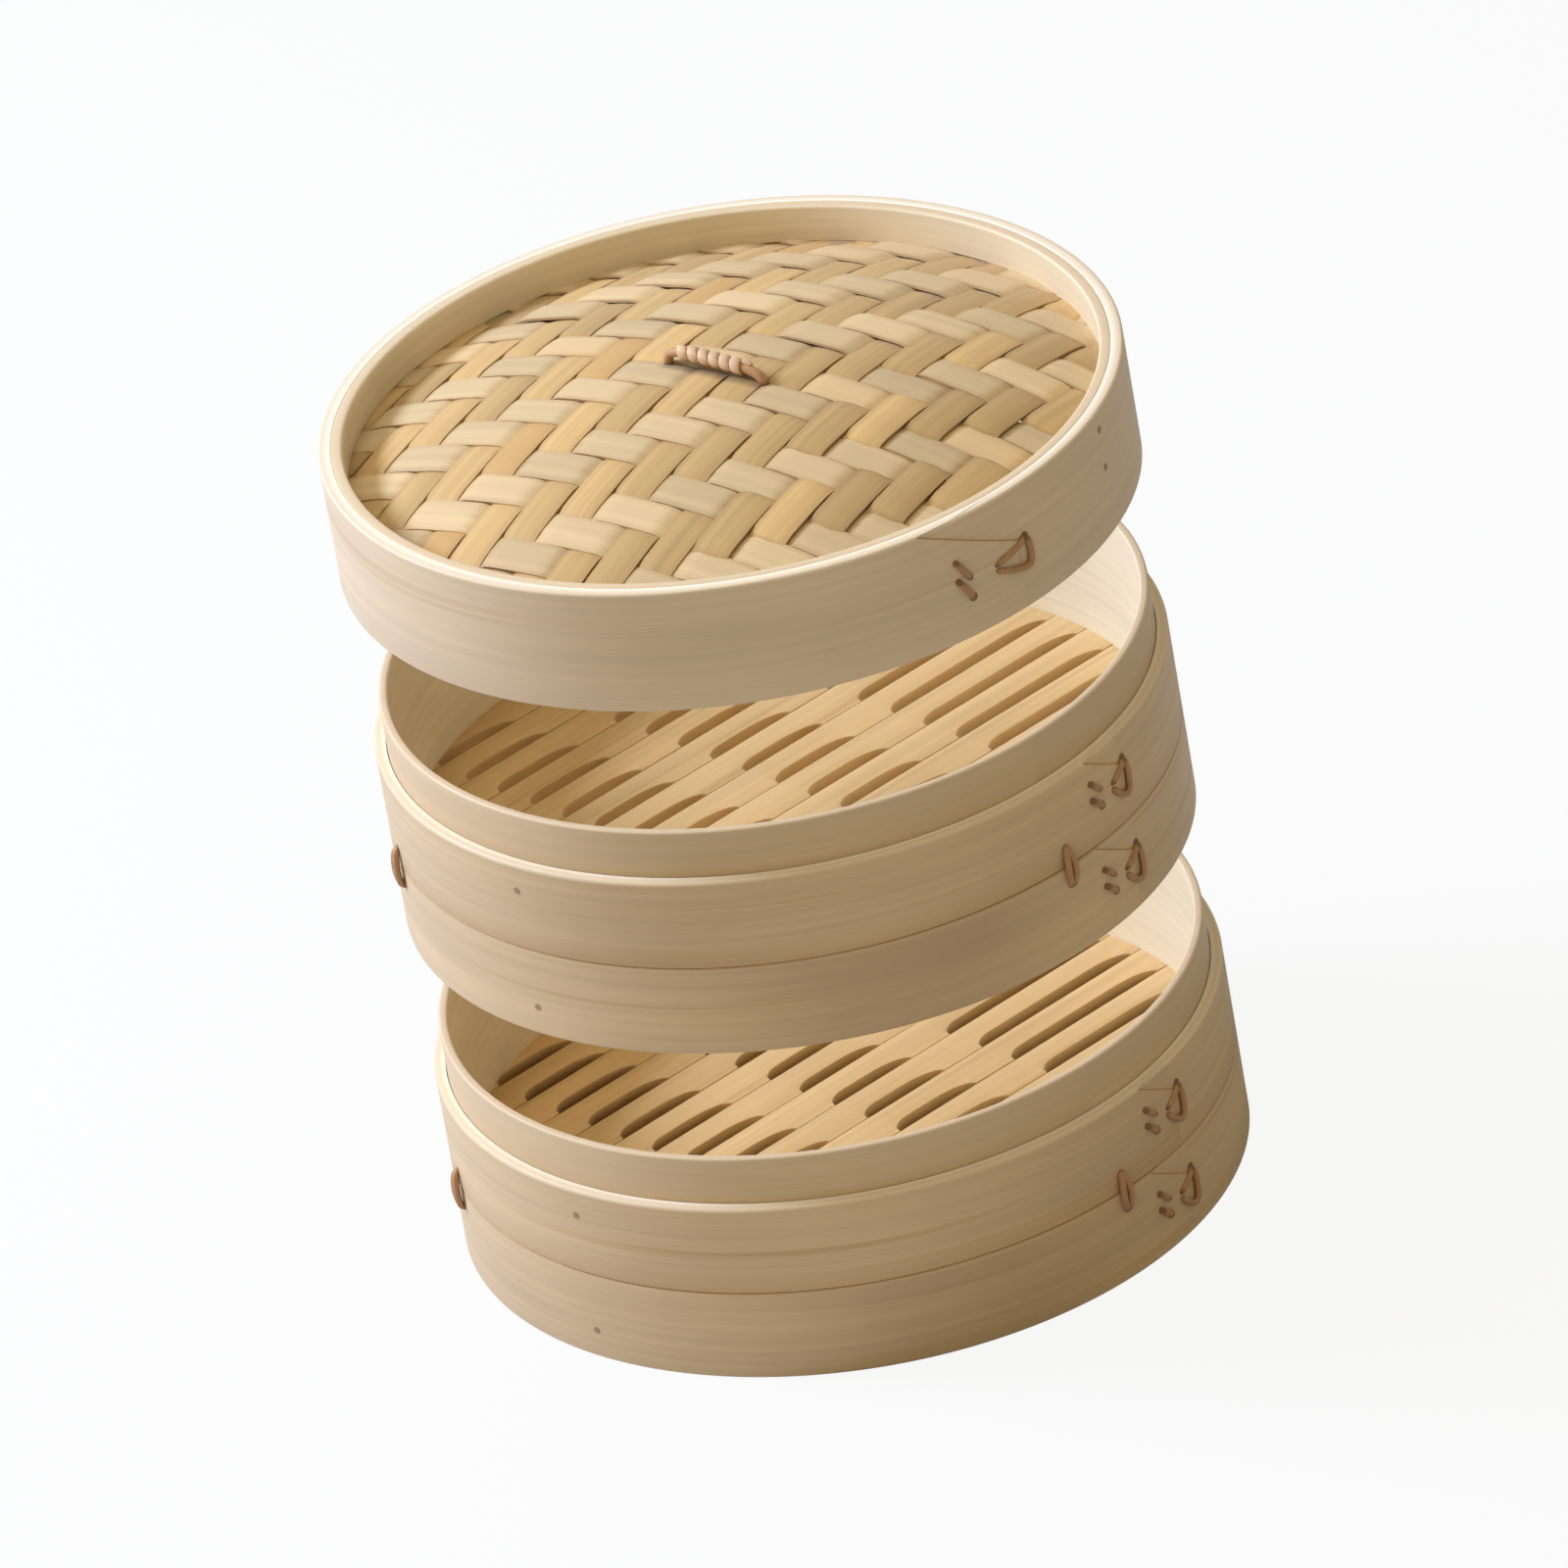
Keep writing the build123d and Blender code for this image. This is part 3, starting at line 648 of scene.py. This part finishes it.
class STEAMER_OT_lid_hoops(bpy.types.Operator):
    """Bends the lid's outer hoop and the two hoops that hold its woven top"""
    bl_idname = "steamer.lid_hoops"
    bl_label = "Lid hoops"

    def execute(self, context):
        hoops, tints = settings("hoops"), settings("colours")
        bore = LID_BORE - hoops.lid_hoop_wall
        top = LID_BASE + LID_HEIGHT
        outer = strip_finish("lid_bamboo", tints.lid, 0.22, 0.4)
        inner = strip_finish("hoop_bamboo", tints.hoop, 0.26, 0.3)
        lap = (hoops.lid_lap, hoops.lid_lap_slope, *(LID_BASE + z for z in LID_LAP))
        bent_strip("lid_outer_hoop", "lid", outer, LID_BORE, LID_RADIUS, LID_BASE, top,
                   (0.0, hoops.seam_round, *LID_TOP_ROUNDS), lap)
        bent_strip("lid_rim_hoop", "lid", inner, bore, LID_BORE, LID_BASE + RIM_LOW, top,
                   RIM_ROUNDS, pale=0.6)
        bent_strip("lid_under_hoop", "lid", inner, bore, LID_BORE, LID_BASE + UNDER_LOW,
                   LID_BASE + UNDER_HIGH, UNDER_ROUNDS)
        return {"FINISHED"}


# Floor slats


def slot_ends(gap_y):
    """Start and end along X of each slot in the gap between two slats."""
    slats = settings("slats")
    bore = BAND_BORE - settings("hoops").hoop_wall
    reach = math.sqrt(bore ** 2 - gap_y ** 2) - SLOT_MARGIN
    edges = [-reach]
    for place in BAR_PLACES:
        edges += [place - slats.pad / 2, place + slats.pad / 2]
    edges.append(reach)
    pairs = [(max(a, -reach), min(b, reach)) for a, b in zip(edges[::2], edges[1::2])]
    return [(a, b) for a, b in pairs if b - a > LEAST_SLOT]


def slot_depth(x, slots):
    """How far the notched edge of a slat is cut back at x, from 0 to 1."""
    slats = settings("slats")
    for start, end in slots:
        if start < x < end:
            first = min(1.0, (x - start) / slats.round_in)
            last = min(1.0, (end - x) / slats.round_out)
            share = min(first, last)
            return math.sqrt(max(0.0, 1.0 - (1.0 - share) ** 2))
    return 0.0


def slat_columns(slots, low, high):
    """Places of a slat's columns of vertices along X, closer at its ends and where a slot ends."""
    slats = settings("slats")
    places = set(np.linspace(-slats.reach, slats.reach, 41))
    for y in np.linspace(low, high, 5):
        end = math.sqrt(slats.reach ** 2 - y ** 2)
        places |= {-end, end}
    for start, end in slots:
        for k in range(9):
            bend = 1.0 - math.cos(math.pi / 2 * k / 8)
            places |= {start + slats.round_in * bend, end - slats.round_out * bend}
    ordered = sorted(places)
    kept = ordered[:1]
    for place in ordered[1:]:
        if place - kept[-1] > 0.15 * MM:
            kept.append(place)
    return kept


def slat_piece(name, index, base, seed):
    """One slat: a flat grid shaped to its notched outline, thickened and rounded."""
    slats = settings("slats")
    middle = (index - (slats.count - 1) / 2) * slats.pitch
    half = (slats.pitch - slats.gap) / 2
    slots = slot_ends(middle - slats.pitch / 2) if index else []
    columns = slat_columns(slots, middle - half, middle + half)
    bpy.ops.mesh.primitive_grid_add(x_subdivisions=len(columns) - 1, y_subdivisions=2, size=2.0)
    piece = named(name)
    places = points_of(piece)
    rank = np.rint((places[:, 0] + 1) / 2 * (len(columns) - 1)).astype(int)
    row = np.rint(places[:, 1]).astype(int)
    far = max(math.sqrt(slats.reach ** 2 - (middle + side * half) ** 2) for side in (-1, 1))
    for k in range(len(places)):
        x = min(max(columns[rank[k]], -far), far)
        arc = math.sqrt(slats.reach ** 2 - x ** 2)
        high = min(middle + half, arc)
        low = max(middle - half + slot_depth(x, slots) * (slats.slot - slats.gap), -arc)
        low = min(low, high)
        places[k] = (x, low + (row[k] + 1) / 2 * (high - low), base + FLOOR_HEIGHT)
    set_points(piece, places)
    outward(piece, 0.02 * MM)
    face_up(piece)
    apply(piece, "SOLIDIFY", thickness=FLOOR_HEIGHT - SLAT_BOTTOM, offset=-1.0)
    apply(piece, "BEVEL", width=slats.edge, segments=2, limit_method="ANGLE", angle_limit=math.radians(50))
    places = points_of(piece)
    slide = random.Random(seed).uniform(0, 9)
    set_grain(piece, places[:, 0] + slide, places[:, 1] + 0.5 * (places[:, 2] - base))
    # Painted shade on the sawn sides, growing deeper down into the slots.
    sawn_side_shade = [k for face in piece.data.polygons if abs(face.normal.z) < 0.2 for k in face.vertices]
    side = np.zeros(len(places))
    side[sawn_side_shade] = smoothstep(0.0, 2.0 * MM, base + FLOOR_HEIGHT - places[sawn_side_shade, 2])
    note(piece, "side", side)
    smooth(piece, 40)
    return piece


class STEAMER_OT_floor_slats(bpy.types.Operator):
    """Shapes the notched slats of both floors"""
    bl_idname = "steamer.floor_slats"
    bl_label = "Floor slats"

    def execute(self, context):
        tints = settings("colours")
        finish = wood("slat_bamboo", tints.slat, tints.band_line, streak=0.3, lines=0.35, marks=SLAT_MARKS)
        for tier in TIERS:
            for index in range(settings("slats").count):
                node = f"{tier}_slat_{index + 1:02d}"
                seed = 31 * index + len(tier) + ord(tier[0])
                piece = slat_piece(node + "_strip", index, BASE[tier], seed)
                finish_piece(piece, f"{tier}_basket", finish, node)
        return {"FINISHED"}


# Woven lid top


def dome_height(reach):
    """Height of the middle of the woven top above z = 0 at a distance from the axis."""
    rise = PANEL_PEAK - (LID_BASE + RIM_LOW)
    radius = (DOME_EDGE ** 2 + rise ** 2) / (2 * rise)
    middle = LID_BASE + (UNDER_HIGH + RIM_LOW) / 2
    inside = np.clip(np.asarray(reach, float), 0.0, DOME_EDGE)
    return middle + rise - radius + np.sqrt(radius ** 2 - inside ** 2)


def goes_over(long_index, cross_index):
    """Two over, two under, stepping on by one from strip to strip."""
    return (cross_index - long_index) % 4 in (0, 1)


def weave_swing(place, pitch, offset, over):
    """Rise of a strip at a place along it, from -1 under to 1 over. over(k) tells of crossing k."""
    crossing = math.floor((place - offset) / pitch + 0.5)
    within = (place - offset) / pitch - crossing
    here = 1.0 if over(crossing) else -1.0
    beside = 1.0 if over(crossing + (1 if within > 0 else -1)) else -1.0
    share = float(smoothstep(0.22, 0.78, abs(within)))
    return here + (beside - here) * share


def weave_strip(name, line, width, axis, over, crossings, draw, warm):
    """One strip: a flat grid laid over the dome, rising and falling at its crossings."""
    weave = settings("weave")
    reach = PANEL_REACH - 0.6 * MM
    half = math.sqrt(max(reach ** 2 - max(abs(line) - width / 2, 0.0) ** 2, 0.0))
    steps = max(12, int(2 * half / (2.1 * MM)))
    bpy.ops.mesh.primitive_grid_add(x_subdivisions=steps, y_subdivisions=6, size=2.0)
    piece = named(name)
    places = points_of(piece)
    along = places[:, 0] * half
    across = places[:, 1]
    swing = np.array([weave_swing(a, *crossings, over) for a in along])
    # Each strip bends a little and has a slightly different width.
    wobble = 0.25 * MM * np.sin(along / (31.0 * MM) + draw.uniform(0, 6.3))
    wider = 1.0 + 0.03 * math.sin(draw.uniform(0, 6.3))
    sideways = line + across * width / 2 * wider + wobble
    turn = weave.turn + axis
    x = along * math.cos(turn) - sideways * math.sin(turn)
    y = along * math.sin(turn) + sideways * math.cos(turn)
    out = np.hypot(x, y)
    shrink = np.minimum(1.0, reach / np.maximum(out, 1e-9))
    x, y, out = x * shrink, y * shrink, out * shrink
    calm = 1.0 - 0.35 * smoothstep(DOME_EDGE - 6 * MM, DOME_EDGE, out)
    lift = swing * weave.swing * calm + weave.crown * (1.0 - across ** 2) - weave.crown / 2
    lean = lift * np.clip(out, 0, DOME_EDGE) / LEAN_RADIUS / np.maximum(out, 1e-9)
    height = dome_height(out) + lift + 0.5 * weave.thickness
    set_points(piece, np.stack([x + lean * x, y + lean * y, height], -1))
    note(piece, "tone", np.full(len(places), draw.uniform(-1, 1)))
    note(piece, "warm", np.full(len(places), warm))
    # Darker along the long edges: raw bamboo and painted shade in the slits.
    note(piece, "raw_edge", smoothstep(0.86, 1.0, np.abs(across)))
    # Painted shadow on the weave beneath the handle, added to the painted shade where a strip goes under.
    beside = np.abs(x * math.sin(HANDLE_TURN) - y * math.cos(HANDLE_TURN) + 1.0 * MM)
    from_middle = np.abs(x * math.cos(HANDLE_TURN) + y * math.sin(HANDLE_TURN))
    shade = 1.0 - smoothstep(1.0 * MM, 4.0 * MM, beside)
    shade *= 1.0 - smoothstep(HANDLE_HALF - 1.0 * MM, HANDLE_HALF + 3.0 * MM, from_middle)
    note(piece, "under", np.maximum(smoothstep(0.1, 1.0, -swing) * 0.8, 1.2 * shade))
    # Painted highlight on each strip's crowns, mostly on the cross strips.
    note(piece, "top", smoothstep(0.55, 1.0, swing) * (0.2 if axis == 0.0 else 1.0))
    slide = draw.uniform(0, 20)
    set_grain(piece, along + slide, across * width / 2 + slide * 0.37)
    face_up(piece)
    apply(piece, "SOLIDIFY", thickness=weave.thickness, offset=-1.0)
    return piece


class STEAMER_OT_woven_top(bpy.types.Operator):
    """Weaves the lid's domed top from long and cross strips"""
    bl_idname = "steamer.woven_top"
    bl_label = "Woven top"

    def execute(self, context):
        weave, tints = settings("weave"), settings("colours")
        draw = random.Random(5)
        kinds = (("long", tints.splint, 0.5, 0.35, 0.25), ("cross", tints.pale_splint, 0.4, 0.2, 0.2))
        for kind, tint, streak, lines, bump in kinds:
            finish = wood(f"{kind}_splint", tint, tints.band_line, streak, lines, bump, marks=WEAVE_MARKS)
            strips = []
            for k in range(-STRIPS_BESIDE, STRIPS_BESIDE + 1):
                if kind == "long":
                    line = LONG_GAP - (k - 0.5) * weave.long_pitch
                    crossings = (weave.cross_pitch, CROSS_MIDDLE)
                    over = lambda m, s=k: goes_over(s, m)
                    width, axis = weave.long_width, 0.0
                    warm = 1.0 if k == -3 else 0.0
                else:
                    line = -(CROSS_MIDDLE + k * weave.cross_pitch)
                    crossings = (weave.long_pitch, LONG_GAP + 0.5 * weave.long_pitch)
                    over = lambda n, m=k: not goes_over(-n, m)
                    width, axis = weave.cross_width, math.pi / 2
                    warm = 0.5 if k == 2 else 0.0
                if abs(line) + 0.2 * width > PANEL_REACH - 1.5 * MM:
                    continue
                strips.append(weave_strip(f"{kind}_{k}", line, width, axis, over, crossings, draw, warm))
            piece = join(strips, f"lid_{kind}_strips")
            smooth(piece, 50)
            finish_piece(piece, "lid", finish, "lid_woven_panel")
        return {"FINISHED"}


# Cane


def cane(name, route, thickness, order=3, sides=5):
    """A length of cane along a smooth curve."""
    bpy.ops.curve.primitive_nurbs_path_add()
    piece = named(name)
    curve = piece.data
    spline = curve.splines[0]
    if len(spline.points) < len(route):
        spline.points.add(len(route) - len(spline.points))
    for k, point in enumerate(spline.points):
        point.co = (*route[min(k, len(route) - 1)], 1.0)
    spline.order_u = order
    spline.use_endpoint_u = True
    spline.resolution_u = 6
    curve.bevel_depth = thickness / 2
    curve.bevel_resolution = sides - 3
    curve.use_fill_caps = True
    only(piece)
    bpy.ops.object.convert(target="MESH")
    return bpy.context.object


def on_wall(piece, radius, azimuth, height, ends):
    """Lays a drawing on the wall: x along it, y up, z outwards. Paints shade where it goes in."""
    places = points_of(piece)
    # Painted shade where the cane sinks into the wall and round the holes it goes into.
    sunk = 1.0 - smoothstep(0.0, 0.8 * MM, places[:, 2])
    for x, y in ends:
        away = np.hypot(places[:, 0] - x, places[:, 1] - y)
        sunk = np.maximum(sunk, 0.8 * (1.0 - smoothstep(0.7 * MM, 2.1 * MM, away)))
    note(piece, "sunk", sunk)
    turn = azimuth + places[:, 0] / radius
    set_points(piece, at_azimuth(turn, radius + places[:, 2], height + places[:, 1]))
    set_grain(piece, places[:, 1] + 0.5 * places[:, 0], 0.7 * places[:, 0] + places[:, 2])
    return piece


def cane_finish(name, tint):
    tints = settings("colours")
    return wood(name, tint, tints.gap, streak=0.6, lines=0.3, bump=0.3, marks=CANE_MARKS)


def hole(name, x, y, thickness):
    """The rim of a hole that cane goes into, darkened with painted shade."""
    return cane(name, [(x, y, -1.2 * MM), (x, y, -0.4 * MM), (x, y, 0.22 * MM)], 1.35 * thickness)


def lap_canes(owner, radius, middle, sizes):
    """Two slanted stitches and a three-cornered loop on one lapped end."""
    thickness = settings("cane").stitch
    azimuth = math.radians(sizes[0])
    width, tall, gap, fall, spacing = (size * MM for size in sizes[1:])
    deep, low, top, run = -2.0 * MM, 0.6 * MM, 0.9 * MM, 5.0 * MM
    half, tall = width / 2, tall / 2
    beside = azimuth - (half + gap + run / 2) / radius
    pair = middle + 1.6 * MM
    made = []

    def sew(routes, turn, height):
        ends = [routes[0][0][:2], routes[0][-1][:2]]
        drawn = [cane(f"{owner}_stitch", route, thickness) for route in routes]
        drawn += [hole(f"{owner}_hole", *end, thickness) for end in ends]
        made.extend([on_wall(part, radius, turn, height, ends) for part in drawn])

    stitch = [(-run / 2, fall / 2, deep), (-run / 2, fall / 2, low), (-run / 4, fall / 4, top),
              (run / 4, -fall / 4, top), (run / 2, -fall / 2, low), (run / 2, -fall / 2, deep)]
    for side in (1, -1):
        sew([stitch], beside, pair + side * spacing / 2)
    slant = [(half, tall, deep), (half - 0.3 * MM, tall - 0.2 * MM, low), (0.0, tall / 2, top),
             (-half, 0.8 * MM, low), (-half - 0.3 * MM, 0.5 * MM, deep)]
    bow = [(half, tall, deep), (half + 0.4 * MM, tall - 0.3 * MM, 0.7 * MM), (half + 1.2 * MM, 0.0, top),
           (half + 0.6 * MM, -tall, top), (half - 3.0 * MM, -tall - 0.2 * MM, top), (-half, -1.2 * MM, low),
           (-half - 0.3 * MM, -0.5 * MM, deep)]
    sew([slant, bow], azimuth, middle)
    return made


def cane_piece(made, name, body, node):
    """Joins lengths of cane into one finished piece."""
    piece = join(made, name)
    smooth(piece, 60)
    finish_piece(piece, body, cane_finish("stitch_cane", settings("colours").cane), node)


class STEAMER_OT_cane_stitches(bpy.types.Operator):
    """Sews the lapped ends and lashes the seams with cane"""
    bl_idname = "steamer.cane_stitches"
    bl_label = "Cane stitches"

    def execute(self, context):
        for tier in TIERS:
            base, body = BASE[tier], f"{tier}_basket"
            made = []
            for share in (0.5, 1.5):
                made += lap_canes(tier, BASKET_RADIUS, base + share * SEAM_HEIGHT, BAND_STITCHES)
            cane_piece(made, f"{tier}_lap_canes", body, f"{tier}_lap_stitches")
            cane_piece(self.lashes(base + SEAM_HEIGHT), f"{tier}_seam_canes", body, f"{tier}_seam_lashes")
        made = lap_canes("lid", LID_RADIUS, LID_BASE + LID_STITCH_HEIGHT, LID_STITCHES)
        cane_piece(made, "lid_lap_canes", "lid", "lid_lap_stitches")
        return {"FINISHED"}

    def lashes(self, height):
        """Two bowed lengths of cane at each place across a seam."""
        made = []
        for k in range(LASH_COUNT):
            turn = math.radians(LASH_START + 360.0 / LASH_COUNT * k)
            for bow in (-1.0, 1.0):
                route = [(bow * x * MM, y * MM, z * MM) for x, y, z in LASH_ROUTE]
                lash = cane("seam_lash", route, settings("cane").lash)
                made.append(on_wall(lash, BASKET_RADIUS, turn, height, [route[0][:2]]))
        return made


class STEAMER_OT_lid_handle(bpy.types.Operator):
    """Bends the handle's cane arch and winds its binding"""
    bl_idname = "steamer.lid_handle"
    bl_label = "Lid handle"

    def execute(self, context):
        sizes, tints = settings("cane"), settings("colours")
        along = np.array((math.cos(HANDLE_TURN), math.sin(HANDLE_TURN), 0.0))
        side = np.array((math.sin(HANDLE_TURN), -math.cos(HANDLE_TURN), 0.0))
        crest, low = PANEL_PEAK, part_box("handle_cane")[0].z - PANEL_PEAK
        route = [(HANDLE_HALF, low), (HANDLE_HALF, 0.4 * MM), (HANDLE_HALF - 1.2 * MM, 3.0 * MM)]
        route += [(x * MM, self.height(x * MM)) for x in (14, 9, 4, -1, -6, -11, -14.5)]
        route += [(-HANDLE_HALF + 1.4 * MM, 1.7 * MM), (-HANDLE_HALF, -0.2 * MM), (-HANDLE_HALF, low)]
        points = [(*(along * x)[:2], crest + z) for x, z in route]
        arch = cane("handle_arch", points, sizes.handle, sides=7)
        # Painted shade on the arch's low parts, where its legs go into the weave.
        note(arch, "sunk", 1.0 - smoothstep(crest - 1.0 * MM, crest + 1.2 * MM, points_of(arch)[:, 2]))
        self.finish(arch, "handle_cane", cane_finish("handle_cane_bark", tints.cane))
        binding = self.wound(sizes)
        x, y, z = points_of(binding).T
        lean = (self.height(x + 0.1 * MM) - self.height(x - 0.1 * MM)) / (0.2 * MM)
        set_points(binding, np.outer(x - lean * z, along) + np.outer(y, side)
                   + np.outer(crest + self.height(x) + z, (0, 0, 1)))
        # Painted shade on the binding's underside.
        note(binding, "sunk", 0.8 * smoothstep(0.3 * MM, 2.2 * MM, -z))
        self.finish(binding, "handle_binding", cane_finish("binding_cane", tints.binding))
        return {"FINISHED"}

    def height(self, x):
        """Height of the bow's middle line above the woven top: it sinks a little towards one end."""
        crown, sag, middle, span = 4.3 * MM, 1.3 * MM, 8.0 * MM, 22.0 * MM
        return crown - sag * ((x - middle) / span) ** 2

    def wound(self, sizes):
        """The binding wound round a straight line along X, flattened until its turns nearly meet."""
        pitch, per_turn, widened = sizes.pitch, 12, 2.1
        radius = sizes.handle / 2 + sizes.binding / 2
        start = -0.2 * MM - 0.5 * sizes.turns * pitch
        coil = []
        for k in range(sizes.turns * per_turn + 1):
            spin = 2 * math.pi * k / per_turn
            coil.append((start + k / per_turn * pitch, radius * math.sin(spin), radius * math.cos(spin)))
        binding = cane("handle_wrap", coil, sizes.binding, order=4, sides=6)
        places = points_of(binding)
        share = np.arctan2(places[:, 1], places[:, 2]) / (2 * math.pi)
        turn = np.clip(np.rint((places[:, 0] - start) / pitch - share) + share, 0, sizes.turns)
        places[:, 0] += (places[:, 0] - start - turn * pitch) * widened
        set_points(binding, places)
        return binding

    def finish(self, piece, node, material):
        x, y, z = points_of(piece).T
        set_grain(piece, y, x + z)
        smooth(piece, 60)
        finish_piece(piece, "lid_handle", material, node)


class STEAMER_OT_frame_finishes(bpy.types.Operator):
    """Gives pegs, floor rings, bars, ribs and the handle pin their finishes"""
    bl_idname = "steamer.frame_finishes"
    bl_label = "Frame finishes"

    def execute(self, context):
        tints = settings("colours")
        plain = wood("frame_bamboo", tints.hoop, tints.band_line, streak=0.3, lines=0.3, uv=False)
        bars = wood("bar_bamboo", tints.slat, tints.band_line, streak=0.3, lines=0.3, uv=False,
                    turn=math.pi / 2)
        peg = wood("peg_bamboo", tints.peg, tints.gap, streak=0.4, lines=0.3, uv=False)
        for name, node in frame["nodes"].items():
            if node.hide_render:
                continue
            finish = peg if name.endswith("pegs") or name == "handle_pin" else plain
            if name.endswith("cross_bars") or name == "lid_ribs":
                finish = bars
            node.data.materials.clear()
            node.data.materials.append(finish)
        return {"FINISHED"}


class STEAMER_OT_stage(bpy.types.Operator):
    """Sets the floor, the soft light and the camera"""
    bl_idname = "steamer.stage"
    bl_label = "Stage"

    def execute(self, context):
        self.floor()
        self.world()
        self.lights()
        self.camera()
        context.scene.view_settings.view_transform = "Standard"
        return {"FINISHED"}

    def floor(self):
        bpy.ops.mesh.primitive_plane_add(size=FLOOR_SIZE, location=(0, 0, FLOOR_LOW))
        plane = named("stage_floor")
        material = bpy.data.materials.new("stage_floor")
        nodes = fresh_nodes(material)
        matt = nodes.add("ShaderNodeBsdfDiffuse", {"Color": (0.6, 0.6, 0.6)})
        white = nodes.add("ShaderNodeEmission", {"Color": (1, 1, 1), "Strength": 1.0})
        place = nodes.add("ShaderNodeTexCoord").outputs["Object"]
        away = nodes.add("ShaderNodeVectorMath", {0: place}, operation="LENGTH").outputs["Value"]
        seen = nodes.add("ShaderNodeLightPath").outputs["Is Camera Ray"]
        share = nodes.math("MULTIPLY", seen, nodes.band(away, *FLOOR_FADE))
        both = nodes.add("ShaderNodeMixShader", {0: share, 1: matt.outputs[0], 2: white.outputs[0]})
        nodes.add("ShaderNodeOutputMaterial", {"Surface": both.outputs[0]})
        plane.data.materials.append(material)

    def world(self):
        world = bpy.data.worlds.new("stage_world")
        bpy.context.scene.world = world
        nodes = fresh_nodes(world)
        seen = nodes.add("ShaderNodeLightPath").outputs["Is Camera Ray"]
        tint = nodes.mix(seen, settings("stage").air, (1, 1, 1))
        air = nodes.add("ShaderNodeBackground", {"Color": tint, "Strength": 1.0})
        nodes.add("ShaderNodeOutputWorld", {"Surface": air.outputs[0]})

    def lights(self):
        """A key and a top light for each tier, as if it stood alone, and one shared fill."""
        self.lamp("stage_fill", *FILL)
        for name in (*TIERS, "lid", "floor"):
            lit = bpy.data.collections.new(f"lit_{name}")
            for piece in bpy.context.scene.objects:
                if piece.type == "MESH" and self.tier_of(piece.name) == name:
                    lit.objects.link(piece)
            for lamp in (self.lamp(f"stage_key_{name}", *KEY), self.lamp(f"stage_top_{name}", *TOP)):
                lamp.light_linking.receiver_collection = lit
                if name != "floor":
                    lamp.light_linking.blocker_collection = lit

    def tier_of(self, name):
        start = name.split("_")[0]
        return {"stage": "floor", "handle": "lid"}.get(start, start)

    def direction(self, azimuth, elevation):
        flat = math.cos(elevation)
        return Vector((math.sin(azimuth) * flat, -math.cos(azimuth) * flat, math.sin(elevation)))

    def lamp(self, name, turn, height, reach, size, power, tint):
        stage = settings("stage")
        way = self.direction(stage.azimuth + math.radians(turn), math.radians(height))
        bpy.ops.object.light_add(type="AREA", location=way * reach + Vector((0, 0, stage.aim_height)))
        lamp = bpy.context.object
        lamp.name = name
        lamp.data.shape = "DISK"
        lamp.data.size = size
        lamp.data.energy = power
        lamp.data.color = tint
        lamp.rotation_euler = way.to_track_quat("Z", "Y").to_euler()
        return lamp

    def camera(self):
        stage = settings("stage")
        back = self.direction(stage.azimuth, stage.elevation)
        level = (-back).to_track_quat("-Z", "Y")
        turned = level.to_matrix() @ Matrix.Rotation(stage.roll, 3, "Z")
        right, up = turned.col[0], turned.col[1]
        aim = Vector((0, 0, stage.aim_height)) - right * stage.aim_right - up * stage.aim_up
        bpy.ops.object.camera_add(location=aim + back * stage.distance, rotation=turned.to_euler())
        camera = bpy.context.object
        camera.name = "stage_camera"
        camera.data.lens = stage.lens
        camera.data.sensor_width = 36.0
        camera.data.clip_end = 100.0
        bpy.context.scene.camera = camera


class STEAMER_PT_panel(bpy.types.Panel):
    """Lists the steps that dress the steamer"""
    bl_idname = "STEAMER_PT_panel"
    bl_label = "Bamboo Steamer"
    bl_space_type = "VIEW_3D"
    bl_region_type = "UI"
    bl_category = "Steamer"

    def draw(self, context):
        for step in STEPS:
            self.layout.operator(step.bl_idname)
        for name, kind in GROUPS.items():
            box = self.layout.box()
            box.label(text=name.capitalize())
            for key in kind.__annotations__:
                box.prop(settings(name), key)


GROUPS = {
    "hoops": STEAMER_PG_hoops, "slats": STEAMER_PG_slats, "weave": STEAMER_PG_weave, "cane": STEAMER_PG_cane,
    "colours": STEAMER_PG_colours, "stage": STEAMER_PG_stage,
}
STEPS = (STEAMER_OT_basket_hoops, STEAMER_OT_floor_slats, STEAMER_OT_lid_hoops, STEAMER_OT_woven_top,
         STEAMER_OT_cane_stitches, STEAMER_OT_lid_handle, STEAMER_OT_frame_finishes, STEAMER_OT_stage)


def register():
    for kind in (*GROUPS.values(), *STEPS, STEAMER_PT_panel):
        bpy.utils.register_class(kind)
    for name, kind in GROUPS.items():
        setattr(bpy.types.Scene, "steamer_" + name, PointerProperty(type=kind))


def unregister():
    for name in GROUPS:
        delattr(bpy.types.Scene, "steamer_" + name)
    for kind in reversed((*GROUPS.values(), *STEPS, STEAMER_PT_panel)):
        bpy.utils.unregister_class(kind)


def main():
    register()
    bpy.ops.steamer.basket_hoops()
    bpy.ops.steamer.floor_slats()
    bpy.ops.steamer.lid_hoops()
    bpy.ops.steamer.woven_top()
    bpy.ops.steamer.cane_stitches()
    bpy.ops.steamer.lid_handle()
    bpy.ops.steamer.frame_finishes()
    bpy.ops.steamer.stage()


if __name__ == "__main__":
    main()
